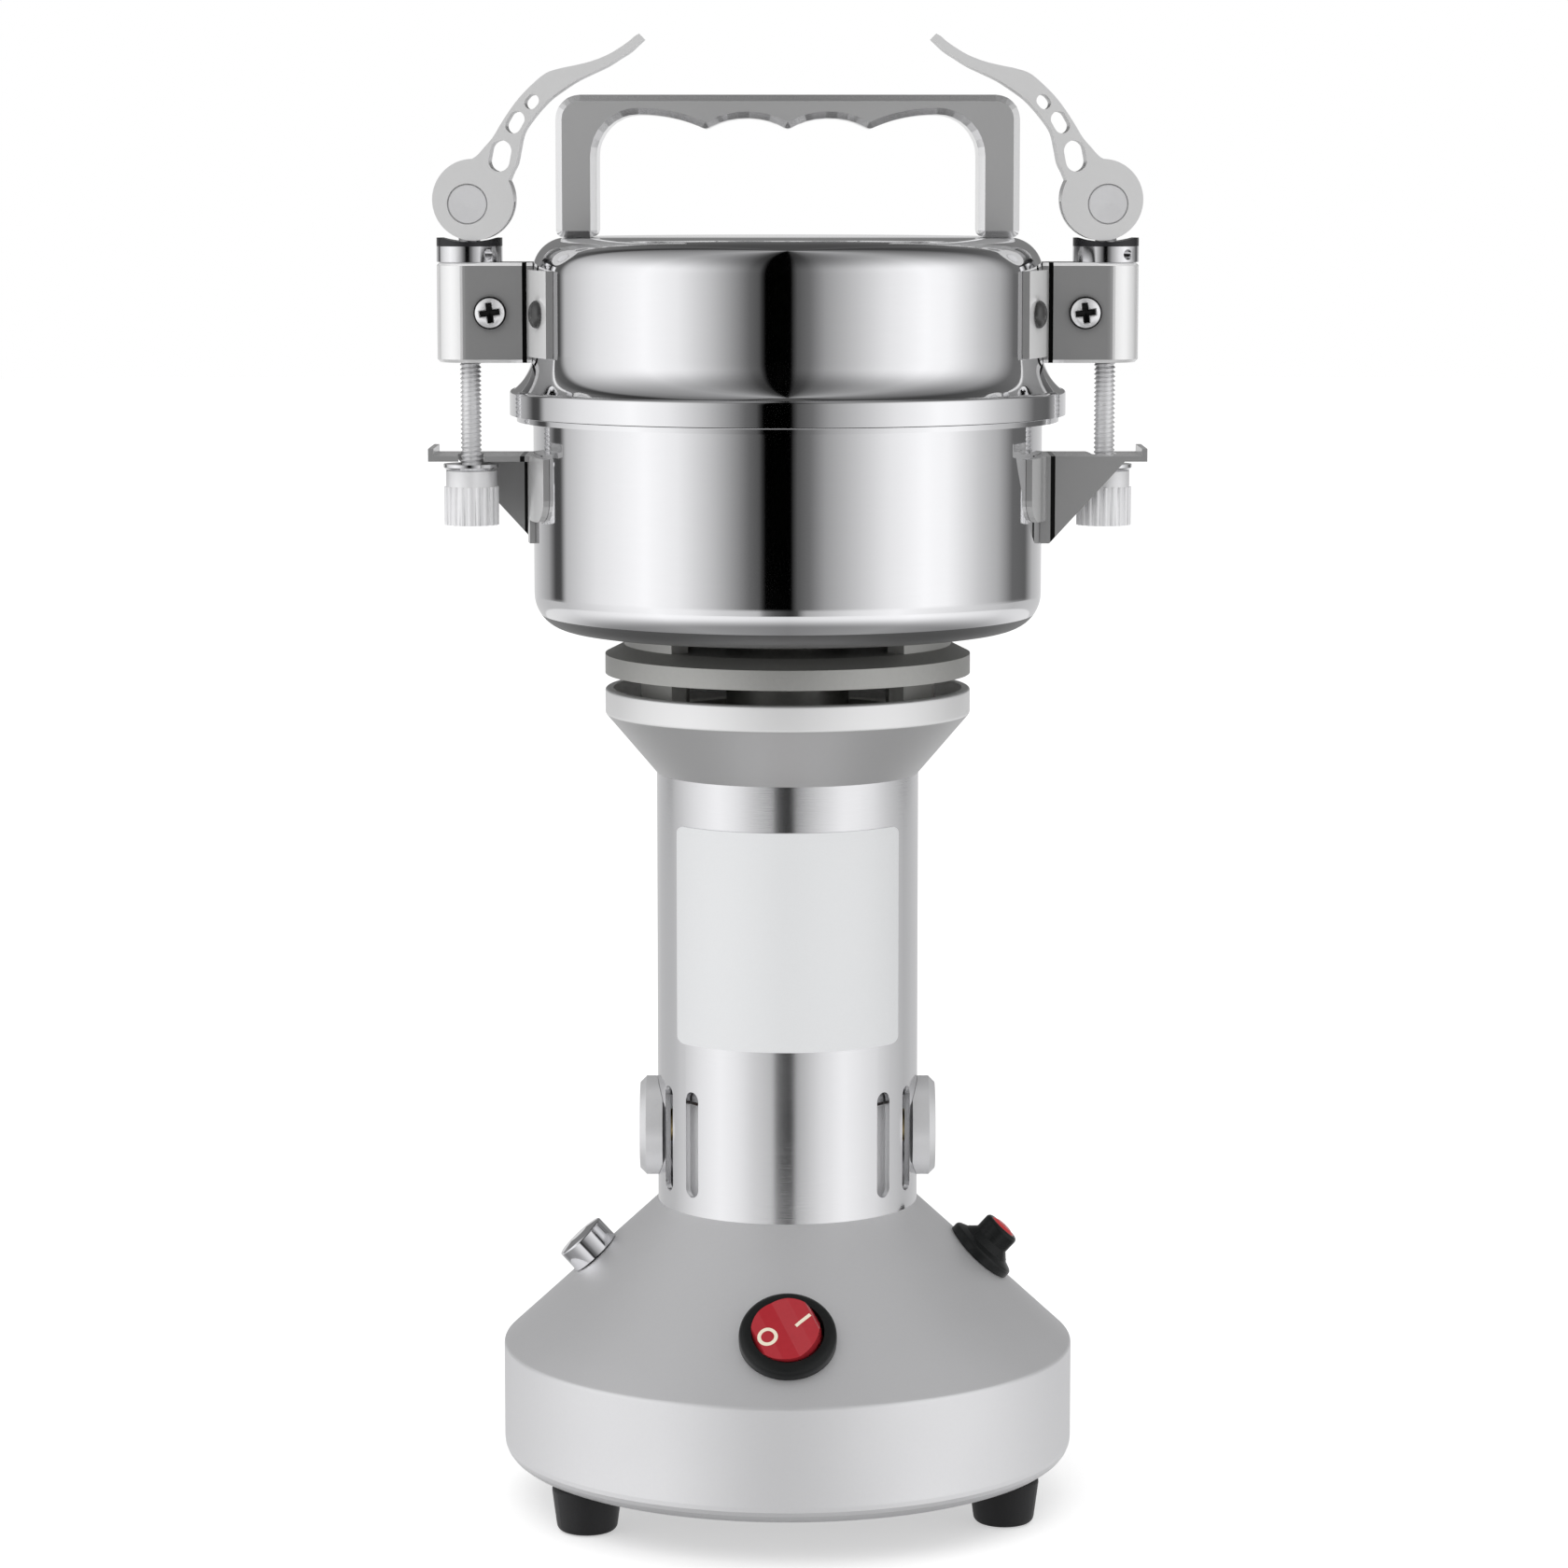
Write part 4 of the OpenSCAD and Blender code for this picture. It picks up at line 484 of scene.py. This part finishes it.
class MarkSettings(bpy.types.PropertyGroup):
    """Marks on the rocker"""
    line: FloatProperty(
        name="Line", description="Turn of the line of the marks from straight down the cone",
        subtype="ANGLE", unit="ROTATION", default=math.radians(114))
    spread: FloatProperty(
        name="Spread", description="Distance of the ring mark from the rocker's middle",
        default=0.0047, **LENGTH)
    ring: FloatProperty(
        name="Ring radius", description="Middle radius of the ring mark", default=0.0018, **LENGTH)
    stroke: FloatProperty(
        name="Stroke", description="Width of the marks' lines", default=0.00078, **LENGTH)
    bar: FloatProperty(
        name="Bar length", description="Length of the bar mark", default=0.0039, **LENGTH)
    bar_share: FloatProperty(
        name="Bar place", description="Distance of the bar mark as a share of the ring's",
        default=0.76)
    tilt: FloatProperty(
        name="Bar tilt", description="Turn of the bar mark against the line of the marks",
        subtype="ANGLE", unit="ROTATION", default=math.radians(14))
    thickness: FloatProperty(
        name="Thickness", description="Thickness of the paint", default=0.0001, **LENGTH)
    lift: FloatProperty(
        name="Lift", description="Height of the paint's top over the rocker", default=0.00004,
        **LENGTH)


# Stage
def studio_world(level):
    """White to the camera, even light for diffuse rays, panels and flags for reflections."""
    world = bpy.data.worlds.new("studio")
    bpy.context.scene.world = world
    world.use_nodes = True
    tree = world.node_tree
    tree.nodes.clear()

    def ramp(stops, source):
        made = node(tree, "ValToRGB", {"Fac": source})
        items = made.color_ramp.elements
        while len(items) > 1:
            items.remove(items[-1])
        items[0].position = 0.0
        items[0].color = grey(stops[0][1])
        for angle, value in stops[1:]:
            items.new(angle / 360 + 0.5).color = (value, value, value * 1.01, 1)
        return made.outputs["Color"]

    def between(value, low, high):
        inputs = {"Value": value, "From Min": low, "From Max": high}
        return node(tree, "MapRange", inputs, interpolation_type="SMOOTHSTEP").outputs["Result"]

    def mix(factor, a, b, blend="MIX"):
        return mixed(tree, "RGBA", factor, a, b, blend)

    split = node(tree, "SeparateXYZ", {0: node(tree, "TexCoord").outputs["Generated"]})
    x, y, z = split.outputs
    angle = calc(tree, "ARCTAN2", x, calc(tree, "MULTIPLY", y, -1.0))
    turn = calc(tree, "ADD", calc(tree, "DIVIDE", angle, 2 * math.pi), 0.5)
    high, low, foot = (ramp(stops, turn) for stops in (HIGH_STOPS, LOW_STOPS, FOOT_STOPS))
    past_foot, over_table = between(z, -0.265, -0.235), between(z, -0.128, -0.1)
    panels = mix(over_table, mix(past_foot, foot, low), high)
    # dim on the side away from the camera, over the horizon, and towards the zenith and nadir
    away = calc(tree, "ABSOLUTE", calc(tree, "SUBTRACT", turn, 0.5))
    behind = calc(tree, "MULTIPLY", between(away, 0.3, 0.45), between(z, 0.0, 0.04))
    dimmed = mix(behind, panels, 0.2)
    dimmed = mix(between(z, 0.3, 0.95), dimmed, 0.34, "MULTIPLY")
    dimmed = mix(between(z, -0.32, -0.75), dimmed, 0.3, "MULTIPLY")
    light = node(tree, "LightPath").outputs
    color = mix(light["Is Glossy Ray"], level, dimmed)
    color = mix(light["Is Transmission Ray"], color, 1.0)
    color = mix(light["Is Camera Ray"], color, 1.0)
    background = node(tree, "Background", {"Color": color, "Strength": 1.0})
    node(tree, "OutputWorld", {"Surface": background.outputs[0]})


class GRINDER_OT_stage(bpy.types.Operator):
    """Adds the pale floor, the soft light and the camera"""
    bl_idname = "grinder.stage"
    bl_label = "Studio"

    def execute(self, context):
        settings = context.scene.grinder_stage
        scene = context.scene
        scene.view_settings.view_transform = "Standard"
        studio_world(settings.world_level)

        bm = bmesh.new()
        bmesh.ops.create_circle(bm, cap_ends=True, radius=settings.floor_radius, segments=96)
        mesh = bpy.data.meshes.new("floor")
        bm.to_mesh(mesh)
        bm.free()
        floor = bpy.data.objects.new("floor", mesh)
        scene.collection.objects.link(floor)
        floor.location.z = -settings.floor_drop
        material = bpy.data.materials.new("floor_paper")
        material.use_nodes = True
        tree = material.node_tree
        light = node(tree, "LightPath").outputs["Is Camera Ray"]
        for label, value in (
                ("Base Color", grey(0.75)), ("Roughness", 0.9), ("Specular IOR Level", 0.0),
                ("Emission Color", grey(1)),
                ("Emission Strength", calc(tree, "MULTIPLY", light, settings.floor_lift))):
            feed(tree, value, tree.nodes["Principled BSDF"].inputs[label])
        mesh.materials.append(material)
        floor.visible_glossy = False

        lamp = bpy.data.lights.new("key", "AREA")
        lamp.shape = "RECTANGLE"
        lamp.size, lamp.size_y = 1.6, 1.0
        lamp.energy = settings.key_level
        key = bpy.data.objects.new("key", lamp)
        scene.collection.objects.link(key)
        key.location = settings.key_place
        aim = Vector((0, 0, settings.key_aim)) - key.location
        key.rotation_euler = aim.to_track_quat("-Z", "Y").to_euler()
        key.visible_glossy = False

        view = bpy.data.cameras.new("camera")
        view.lens = settings.lens
        view.sensor_width = 36.0
        view.clip_start = 0.01
        view.clip_end = 50.0
        camera = bpy.data.objects.new("camera", view)
        scene.collection.objects.link(camera)
        camera.location = settings.camera_place
        camera.rotation_euler = (math.pi / 2 - settings.camera_pitch, 0, 0)
        scene.camera = camera
        return {"FINISHED"}


# Finishes
class GRINDER_OT_base(bpy.types.Operator):
    """Finishes the base, the feet and the barrel"""
    bl_idname = "grinder.base"
    bl_label = "Base and barrel"

    def execute(self, context):
        dress(finish("base_coat", (0.97, 0.97, 0.98), 0.78, (0.46, 0.52), scale=1500, bump=0.06,
                     variation=0.04), "base_shell")
        dress(finish("barrel_steel", (0.9, 0.9, 0.91), 1.0, (0.1, 0.14), (1, 1, 24), 260, 0.05,
                     variation=0.05), "barrel")
        dress(two_finish("collar_coat", (0.72, 0.45, 0.75), (0.98, 0.42, 0.5), 0.35, 0.5,
                         axis=(0, 0, 1)), "collar")
        dress(finish("plate_steel", (0.35, 0.35, 0.36), 1.0, (0.4, 0.5), scale=700), "bottom_plate")
        dress(finish("label_foil", (0.88, 0.89, 0.9), 0.1, (0.32, 0.4), scale=2500, bump=0.05,
                     variation=0.05), "label_plate")
        dress(finish("foot_rubber", (0.012, 0.012, 0.013), 0.0, (0.5, 0.62), scale=1800, bump=0.25,
                     variation=0.3, sheen=0.1), "rubber_feet")
        dress(finish("boss_grey", (0.87, 0.87, 0.88), 0.5, (0.36, 0.44), scale=1600, bump=0.1),
              "brush_bosses")
        dress(finish("cap_grey", (0.75, 0.75, 0.76), 0.5, (0.4, 0.5), scale=1600, bump=0.12),
              "brush_caps")
        return {"FINISHED"}


class GRINDER_OT_controls(bpy.types.Operator):
    """Finishes the switch, the reset button, the fuse cap and the cord bush"""
    bl_idname = "grinder.controls"
    bl_label = "Controls"

    def execute(self, context):
        dress(finish("black_moulding", (0.012, 0.013, 0.013), 0.0, (0.26, 0.38), scale=1400,
                     bump=0.12, variation=0.3, ior=1.3),
              "switch_housing", "reset_nut", "overload_breaker", "cord_bush", "fuse_holder")
        dress(finish("rocker_red", (0.42, 0.025, 0.035), 0.0, (0.12, 0.2), scale=900, bump=0.03,
                     variation=0.16, coat=0.4), "rocker")
        dress(finish("button_red", (0.6, 0.03, 0.035), 0.0, (0.2, 0.3), scale=900, bump=0.05,
                     variation=0.1), "reset_button")
        dress(finish("cap_chrome", (0.9, 0.9, 0.92), 1.0, (0.05, 0.1), scale=600, bump=0.03),
              "fuse_cap")
        dress(finish("fuse_glass", (0.9, 0.92, 0.9), 0.0, (0.03, 0.06), scale=400, bump=0.02,
                     transmission=0.85), "fuse")
        return {"FINISHED"}


class GRINDER_OT_motor(bpy.types.Operator):
    """Finishes the motor, the shaft and the blades"""
    bl_idname = "grinder.motor"
    bl_label = "Motor and blades"

    def execute(self, context):
        dress(finish("laminations", (0.33, 0.33, 0.34), 1.0, (0.35, 0.45), (1, 1, 60), 60, 0.4,
                     variation=0.4), "stator_core")
        dress(finish("copper_wire", (0.62, 0.26, 0.1), 1.0, (0.25, 0.35), (1, 1, 40), 50, 0.6,
                     variation=0.6), "field_windings", "armature")
        dress(finish("commutator_copper", (0.72, 0.36, 0.2), 1.0, (0.2, 0.3), (1, 1, 30), 90, 0.1),
              "commutator")
        dress(finish("brass_tube", (0.78, 0.6, 0.3), 1.0, (0.2, 0.3), scale=700), "brush_tubes")
        dress(finish("carbon", (0.03, 0.03, 0.032), 0.2, (0.5, 0.6), scale=1500, bump=0.2),
              "carbon_brushes")
        dress(finish("bright_steel", (0.72, 0.72, 0.73), 1.0, (0.2, 0.28), (1, 1, 20), 160, 0.08),
              "brush_springs", "bearings", "shaft", "blade_spacer", "foot_screws",
              "carrier_screws", "handle_screws")
        dress(finish("fan_plastic", (0.05, 0.05, 0.055), 0.0, (0.4, 0.5), scale=1200, bump=0.15),
              "cooling_fan")
        dress(finish("blade_steel", (0.85, 0.85, 0.86), 1.0, (0.12, 0.22), (30, 1, 1), 90, 0.08),
              "lower_blade", "upper_blade", "blade_nut")
        return {"FINISHED"}


class GRINDER_OT_carrier(bpy.types.Operator):
    """Finishes the cast carrier, the seals and the lower motor frame"""
    bl_idname = "grinder.carrier"
    bl_label = "Carrier and seals"

    def execute(self, context):
        dress(finish("cast_grey", (0.52, 0.52, 0.5), 0.7, (0.42, 0.5), scale=900, bump=0.3,
                     depth=0.0002, variation=0.1), "bowl_carrier")
        # painted light: the bearing bracket behind the vent slots is near white, so the slots show
        # a light floor where the closed body lies in shade
        dress(finish("cup_cast", (0.95, 0.95, 0.96), 0.1, (0.4, 0.5), scale=900, bump=0.15),
              "bearing_bracket")
        dress(finish("seal_rubber", (0.02, 0.02, 0.021), 0.0, (0.5, 0.6), scale=1200, bump=0.2),
              "shaft_seal")
        # painted shade: the gasket is dark grey, so the gap under the lid's flange shows as a dark
        # line
        dress(finish("seal_silicone", (0.1, 0.1, 0.1), 0.0, (0.4, 0.5), scale=800, bump=0.1,
                     sheen=0.05), "lid_gasket")
        return {"FINISHED"}


class GRINDER_OT_handle(bpy.types.Operator):
    """Finishes the handle: matt faces, and glossier bevels and rims whose near-white grey is a
    painted highlight
    """
    bl_idname = "grinder.handle"
    bl_label = "Handle"

    def execute(self, context):
        # painted highlight: the bevels and rims get a near-white grey, with a glossier finish as
        # well
        dress(two_finish("handle_metal", (0.6, 0.4, 0.6), (0.97, 0.12, 0.9)), "handle")
        return {"FINISHED"}


class GRINDER_OT_latches(bpy.types.Operator):
    """Finishes the straps, brackets, levers, washers and nuts"""
    bl_idname = "grinder.latches"
    bl_label = "Latches"

    def execute(self, context):
        settings = context.scene.grinder_sheet
        half = settings.crease_width / 2
        # painted light: on each sheet the flat faces are painted darker as painted shade, and the
        # bends and edges lighter and glossier as painted highlight
        for kind, name, flat, other, middle in (
                ("latch_strap", "strap_sheet", (0.41, 0.42, 0.7), (1.0, 0.14, 0.35),
                 settings.crease),
                ("hook_bracket", "bracket_sheet", (0.42, 0.4, 0.6), (0.75, 0.2, 0.5),
                 settings.root)):
            sheet = two_finish(name, flat, other, 0.97, 0.995)
            # painted shade: a dark band along the bend, the crease on the straps and the root on
            # the brackets
            zone(sheet, "Base Color", settings.crease_shade_grey, (1, 0, 0), middle - half, middle + half)
            dress(sheet, *both(kind))
        dress(finish("guide_moulding", (0.04, 0.04, 0.042), 0.0, (0.35, 0.45), scale=1200,
                     bump=0.15), "latch_guides")
        dress(finish("bright_plating", (0.92, 0.92, 0.93), 1.0, (0.08, 0.14), scale=700,
                     bump=0.03), "latch_collars", *both("nut_washer"))
        dress(finish("nut_plating", (0.98, 0.98, 0.99), 0.35, (0.3, 0.38), scale=900, bump=0.04),
              *both("thumb_nut"))
        dress(finish("washer_black", (0.02, 0.02, 0.022), 0.0, (0.2, 0.3), scale=1200, bump=0.1),
              "cam_washers")
        dress(two_finish("lever_metal", (0.76, 0.5, 0.3), (0.9, 0.3, 0.4)), *both("cam_lever"))
        dress(finish("pin_steel", (0.82, 0.82, 0.83), 0.4, (0.4, 0.46), scale=900, bump=0.03),
              *both("pivot_pin"))
        return {"FINISHED"}


# Pieces of their own over the plain CAD forms
class GRINDER_OT_bowl(bpy.types.Operator):
    """Spins the bowl and the lid shell as polished steel with fine corners"""
    bl_idname = "grinder.bowl"
    bl_label = "Bowl and lid"

    def execute(self, context):
        settings = context.scene.grinder_bowl
        steel = finish("mirror_steel", (0.95, 0.95, 0.96), 1.0, (0.035, 0.055), (1, 1, 8), 120,
                       0.006, variation=0.02, patch=9)
        wall, sheet, lip = settings.wall, settings.sheet, settings.lip
        inner = wall - sheet
        low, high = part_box("bowl")
        # painted shade: a dark grey colour along the bowl's lower edge, with a higher roughness as
        # well
        for label, value in (("Base Color", 0.27), ("Roughness", 0.45)):
            zone(steel, label, value, (0, 0, 1), low.z - lip, low.z + settings.shade)
        dress(steel, "bowl", "lid_shell")

        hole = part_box("shaft_seal")[1].x - settings.seat
        body = outline([
            (hole, low.z, 0), (wall - settings.foot - sheet, low.z, 0),
            (wall, low.z, settings.foot), (wall, low.z + settings.foot + sheet, 0),
            (wall, high.z - lip, 0), (high.x, high.z - lip, 0), (high.x, high.z, lip / 3),
            (inner, high.z, 0), (inner, low.z + lip, settings.foot - sheet),
            (hole, low.z + lip, 0)])
        bm = bmesh.new()
        lathe(bm, body, Matrix(), settings.steps)
        bmesh.ops.remove_doubles(bm, verts=bm.verts, dist=WELD)
        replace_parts(piece("spun_bowl", bm, steel, "base", 40), "bowl")

        low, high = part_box("lid_shell")
        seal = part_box("lid_gasket")[1].z
        skirt, step, top = high.x, settings.step, low.z + settings.skirt
        foot = skirt - step - wall
        sweep = (foot * foot + settings.flare * settings.flare) / (2 * foot)
        start = math.asin(settings.flare / sweep)
        flare = [(wall + sweep - sweep * math.cos(a), top + settings.flare - sweep * math.sin(a), 0)
                 for a in (start * (1 - k / 12) for k in range(13))]
        shell = outline([
            (skirt - settings.hem, seal, 0), (skirt - settings.hem, low.z, 0), (skirt, low.z, 0),
            (skirt, top, step * 0.8), (skirt - 2 * step, top, 0), *flare,
            (wall, high.z, settings.corner), (0, high.z, 0), (0, high.z - sheet, 0),
            (inner, high.z - sheet, settings.corner - sheet), (inner, seal, 0)])
        bm = bmesh.new()
        lathe(bm, shell, Matrix(), settings.steps)
        bmesh.ops.remove_doubles(bm, verts=bm.verts, dist=WELD)
        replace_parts(piece("spun_lid", bm, steel, "lid", 40), "lid_shell")
        return {"FINISHED"}


def thread(bm, x, z0, z1, r, pitch, depth, steps):
    """A threaded rod along Z: the radius follows a rounded V along the helix."""
    rows = max(int((z1 - z0) / (pitch / 8)), 2)
    grid = []
    for j in range(rows + 1):
        z = z0 + (z1 - z0) * j / rows
        fade = min(1.0, (z - z0) / pitch, (z1 - z) / pitch)
        ring = []
        for k in range(steps):
            phase = (z / pitch - k / steps) % 1.0
            cut = depth * fade * (0.5 - 0.5 * math.cos(2 * math.pi * phase)) ** 0.7
            a = 2 * math.pi * k / steps
            ring.append(bm.verts.new((x + (r - cut) * math.cos(a), (r - cut) * math.sin(a), z)))
        grid.append(ring)
    for a, b in zip(grid, grid[1:]):
        for k in range(steps):
            n = (k + 1) % steps
            bm.faces.new((a[k], a[n], b[n], b[k]))
    bm.faces.new(grid[0])
    bm.faces.new(grid[-1])


class GRINDER_OT_bolts(bpy.types.Operator):
    """Makes the threaded clamp bolts with their eyes"""
    bl_idname = "grinder.bolts"
    bl_label = "Clamp bolts"

    def execute(self, context):
        settings = context.scene.grinder_bolts
        steel = finish("bolt_steel", (0.96, 0.96, 0.97), 0.55, (0.2, 0.28), scale=900, bump=0.03)
        r, top, hole, bevel = settings.rod, settings.thread_top, settings.hole, settings.bevel
        for side in SIDES:
            dress(steel, "clamp_bolt_" + side)
            low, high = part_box("clamp_bolt_" + side)
            x, eye_r, half = (low.x + high.x) / 2, (high.x - low.x) / 2, (high.y - low.y) / 2
            z_pin = high.z - eye_r
            neck = z_pin - settings.neck
            bm = bmesh.new()
            thread(bm, x, low.z, top, r, settings.pitch, settings.depth, settings.steps)
            lathe(bm, [(0, top), (r, top), (r, neck), (0, neck)],
                  Matrix.Translation((x, 0, 0)), settings.steps)
            eye = [(hole, -half), (eye_r - bevel, -half), (eye_r, bevel - half),
                   (eye_r, half - bevel), (eye_r - bevel, half), (hole, half), (hole, -half)]
            lathe(bm, eye, along((x, 0, z_pin), (0, 1, 0)))
            bmesh.ops.remove_doubles(bm, verts=bm.verts, dist=WELD)
            obj = piece("threaded_bolt_" + side, bm, steel, "clamp_" + side, 60)
            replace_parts(obj, "clamp_bolt_" + side)
        return {"FINISHED"}


def cross_head(bm, place, r, height):
    """A pan head with a cross recess: a ring of columns whose inner part drops into the cross."""
    steps, rings = 96, 22
    arm, reach, depth, slope = r * 0.19, r * 0.62, height * 0.75, r * 0.09
    grid = []
    for j in range(rings + 1):
        rho = r * j / rings
        dome = height - height * 0.55 * max(0.0, rho / r - 0.25) ** 2.6 * 1.9
        ring = []
        for px, py in circle(rho, steps):
            inside = min(arm - min(abs(px), abs(py)), reach - max(abs(px), abs(py)))
            drop = depth * min(max(inside / slope + 0.5, 0.0), 1.0) * (1 - 0.45 * rho / reach)
            ring.append(bm.verts.new(place @ Vector((px, py, dome - max(drop, 0.0)))))
        grid.append(ring)
    grid.append([bm.verts.new(place @ Vector((px, py, 0))) for px, py in circle(r, steps)])
    for a, b in zip(grid, grid[1:]):
        bridge(bm, a, b)
    bm.faces.new(grid[-1])
    bmesh.ops.remove_doubles(bm, verts=grid[0], dist=1e-8)


class GRINDER_OT_screws(bpy.types.Operator):
    """Makes the cross screws, nuts and rivets of the straps"""
    bl_idname = "grinder.screws"
    bl_label = "Strap screws"

    def execute(self, context):
        settings = context.scene.grinder_screws
        strap, shank, rivet = settings.strap, settings.shank, settings.rivet
        corner, height, hole = settings.nut, settings.nut_height, settings.nut_hole
        zinc = finish("screw_zinc", (0.95, 0.95, 0.96), 0.6, (0.24, 0.3), scale=1200, bump=0.02)
        # painted shade in the crosses, which lie just before the straps, and a dark grey on the
        # rivets
        zone(zinc, "Base Color", 0.004, (0, 1, 0), strap, strap + settings.cross_shade_height)
        zone(zinc, "Base Color", 0.1, (1, 0, 0), 0.0, 0.06)
        dress(zinc, "latch_screws")
        low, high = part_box("latch_strap_left")
        z = (low.z + high.z) / 2
        bm = bmesh.new()
        for x in (-settings.across, settings.across):
            # the heads and nuts stand a hair off the strap, so no faces fall together
            place = along((x, -strap - 0.00005, z), (0, -1, 0))
            place @= Matrix.Rotation(settings.cross_turn, 4, "Z")
            cross_head(bm, place, settings.head, settings.head_height)
            end = 2 * strap + 0.003
            rod = [(0, 0), (shank, 0), (shank, end - 0.0004), (shank - 0.0004, end), (0, end)]
            lathe(bm, rod, along((x, -strap, z), (0, 1, 0)), 32)
            nut = [(hole, 0), (corner, 0), (corner, height - 0.0002), (corner - 0.0003, height),
                   (hole, height)]
            lathe(bm, nut, along((x, strap + 0.0001, z), (0, 1, 0)), 6)
        wall = context.scene.grinder_bowl.wall
        turn, base = math.asin(settings.rivet_beside / wall), wall + settings.rivet_sheet
        root = -0.0028  # the rivet's shank ends inside the wall
        dome = [(0, root), (rivet / 2, root), (rivet / 2, 0.0)]
        for k in range(7):
            a = math.pi / 2 * k / 6
            dome.append((rivet * math.cos(a) ** 0.8 if k < 6 else 0.0,
                         0.0002 + rivet / 2 * math.sin(a)))
        for angle in (turn, -turn, math.pi + turn, math.pi - turn):
            out = Vector((math.cos(angle), math.sin(angle), 0))
            lathe(bm, dome, along(out * base + Vector((0, 0, z)), out), 40)
        obj = piece("strap_fasteners", bm, zinc, "lid", 40)
        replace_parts(obj, "latch_screws")
        return {"FINISHED"}


class GRINDER_OT_marks(bpy.types.Operator):
    """Lays the ring and bar marks on the rocker"""
    bl_idname = "grinder.marks"
    bl_label = "Rocker marks"

    def execute(self, context):
        settings = context.scene.grinder_marks
        paint = finish("mark_paint", (0.86, 0.78, 0.62), 0.0, (0.4, 0.5), scale=1500, bump=0.05)
        tree = BVHTree.FromObject(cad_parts["rocker"], context.evaluated_depsgraph_get())
        # the cone's slope at the switch; u runs along the line of the marks and v across it
        slope, height = 0.6788, 0.7343
        normal = Vector((0, -slope, height))
        centre = Vector((0, -0.0506, 0.04793))
        turn = settings.line
        down = Vector((0, -height, -slope))
        side = Vector((1, 0, 0))
        u = math.cos(turn) * down + math.sin(turn) * side
        v = -math.sin(turn) * down + math.cos(turn) * side

        def lay(a, b):
            start = centre + u * a + v * b + normal * 0.02  # well clear of the rocker
            return tree.ray_cast(start, -normal)[0] + normal * settings.lift

        def ribbon(bm, inner, outer, closed):
            rows = [[lay(*p) for p in inner], [lay(*p) for p in outer]]
            count = len(inner)
            verts = [[bm.verts.new(p) for p in row] for row in rows]
            under = [[bm.verts.new(p - normal * settings.thickness) for p in row] for row in rows]
            for k in range(count if closed else count - 1):
                n = (k + 1) % count
                bm.faces.new((verts[0][k], verts[0][n], verts[1][n], verts[1][k]))
                bm.faces.new((under[0][k], under[1][k], under[1][n], under[0][n]))
                for row in (0, 1):
                    bm.faces.new((verts[row][k], under[row][k], under[row][n], verts[row][n]))
            if not closed:
                for k in (0, count - 1):
                    bm.faces.new((verts[0][k], verts[1][k], under[1][k], under[0][k]))

        bm = bmesh.new()
        half, spread = settings.stroke / 2, settings.spread
        rings = ([(x - spread, y) for x, y in circle(r, 48)]
                 for r in (settings.ring - half, settings.ring + half))
        ribbon(bm, *rings, True)
        at, c, s = spread * settings.bar_share, math.cos(settings.tilt), math.sin(settings.tilt)
        reach = [settings.bar * (k / 8 - 0.5) for k in range(9)]
        edges = ([(at + a * c + h * s, a * s - h * c) for a in reach] for h in (half, -half))
        ribbon(bm, *edges, False)
        piece("rocker_marks", bm, paint, "switch_rocker", 30)
        return {"FINISHED"}


# Add-on
STEPS = ("stage", "base", "controls", "motor", "carrier", "bowl", "handle", "latches", "bolts",
         "screws", "marks")
SETTINGS = {
    "grinder_stage": StageSettings, "grinder_bowl": BowlSettings, "grinder_bolts": BoltSettings,
    "grinder_screws": ScrewSettings, "grinder_sheet": SheetSettings, "grinder_marks": MarkSettings,
}


class GRINDER_PT_panel(bpy.types.Panel):
    """Steps that build the dressed grinder"""
    bl_idname = "GRINDER_PT_panel"
    bl_label = "Coffee Grinder"
    bl_space_type = "VIEW_3D"
    bl_region_type = "UI"
    bl_category = "Grinder"

    def draw(self, context):
        layout = self.layout
        for name in STEPS:
            layout.operator("grinder." + name)
        for name in SETTINGS:
            settings = getattr(context.scene, name)
            box = layout.box()
            for prop in settings.__annotations__:
                box.prop(settings, prop)


CLASSES = (
    *SETTINGS.values(), GRINDER_OT_stage, GRINDER_OT_base, GRINDER_OT_controls, GRINDER_OT_motor,
    GRINDER_OT_carrier, GRINDER_OT_bowl, GRINDER_OT_handle, GRINDER_OT_latches, GRINDER_OT_bolts,
    GRINDER_OT_screws, GRINDER_OT_marks, GRINDER_PT_panel)


def register():
    for cls in CLASSES:
        bpy.utils.register_class(cls)
    for name, cls in SETTINGS.items():
        setattr(bpy.types.Scene, name, PointerProperty(type=cls))


def unregister():
    for name in SETTINGS:
        delattr(bpy.types.Scene, name)
    for cls in reversed(CLASSES):
        bpy.utils.unregister_class(cls)


def main():
    register()
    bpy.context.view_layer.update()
    for name in STEPS:
        getattr(bpy.ops.grinder, name)()


if __name__ == "__main__":
    main()
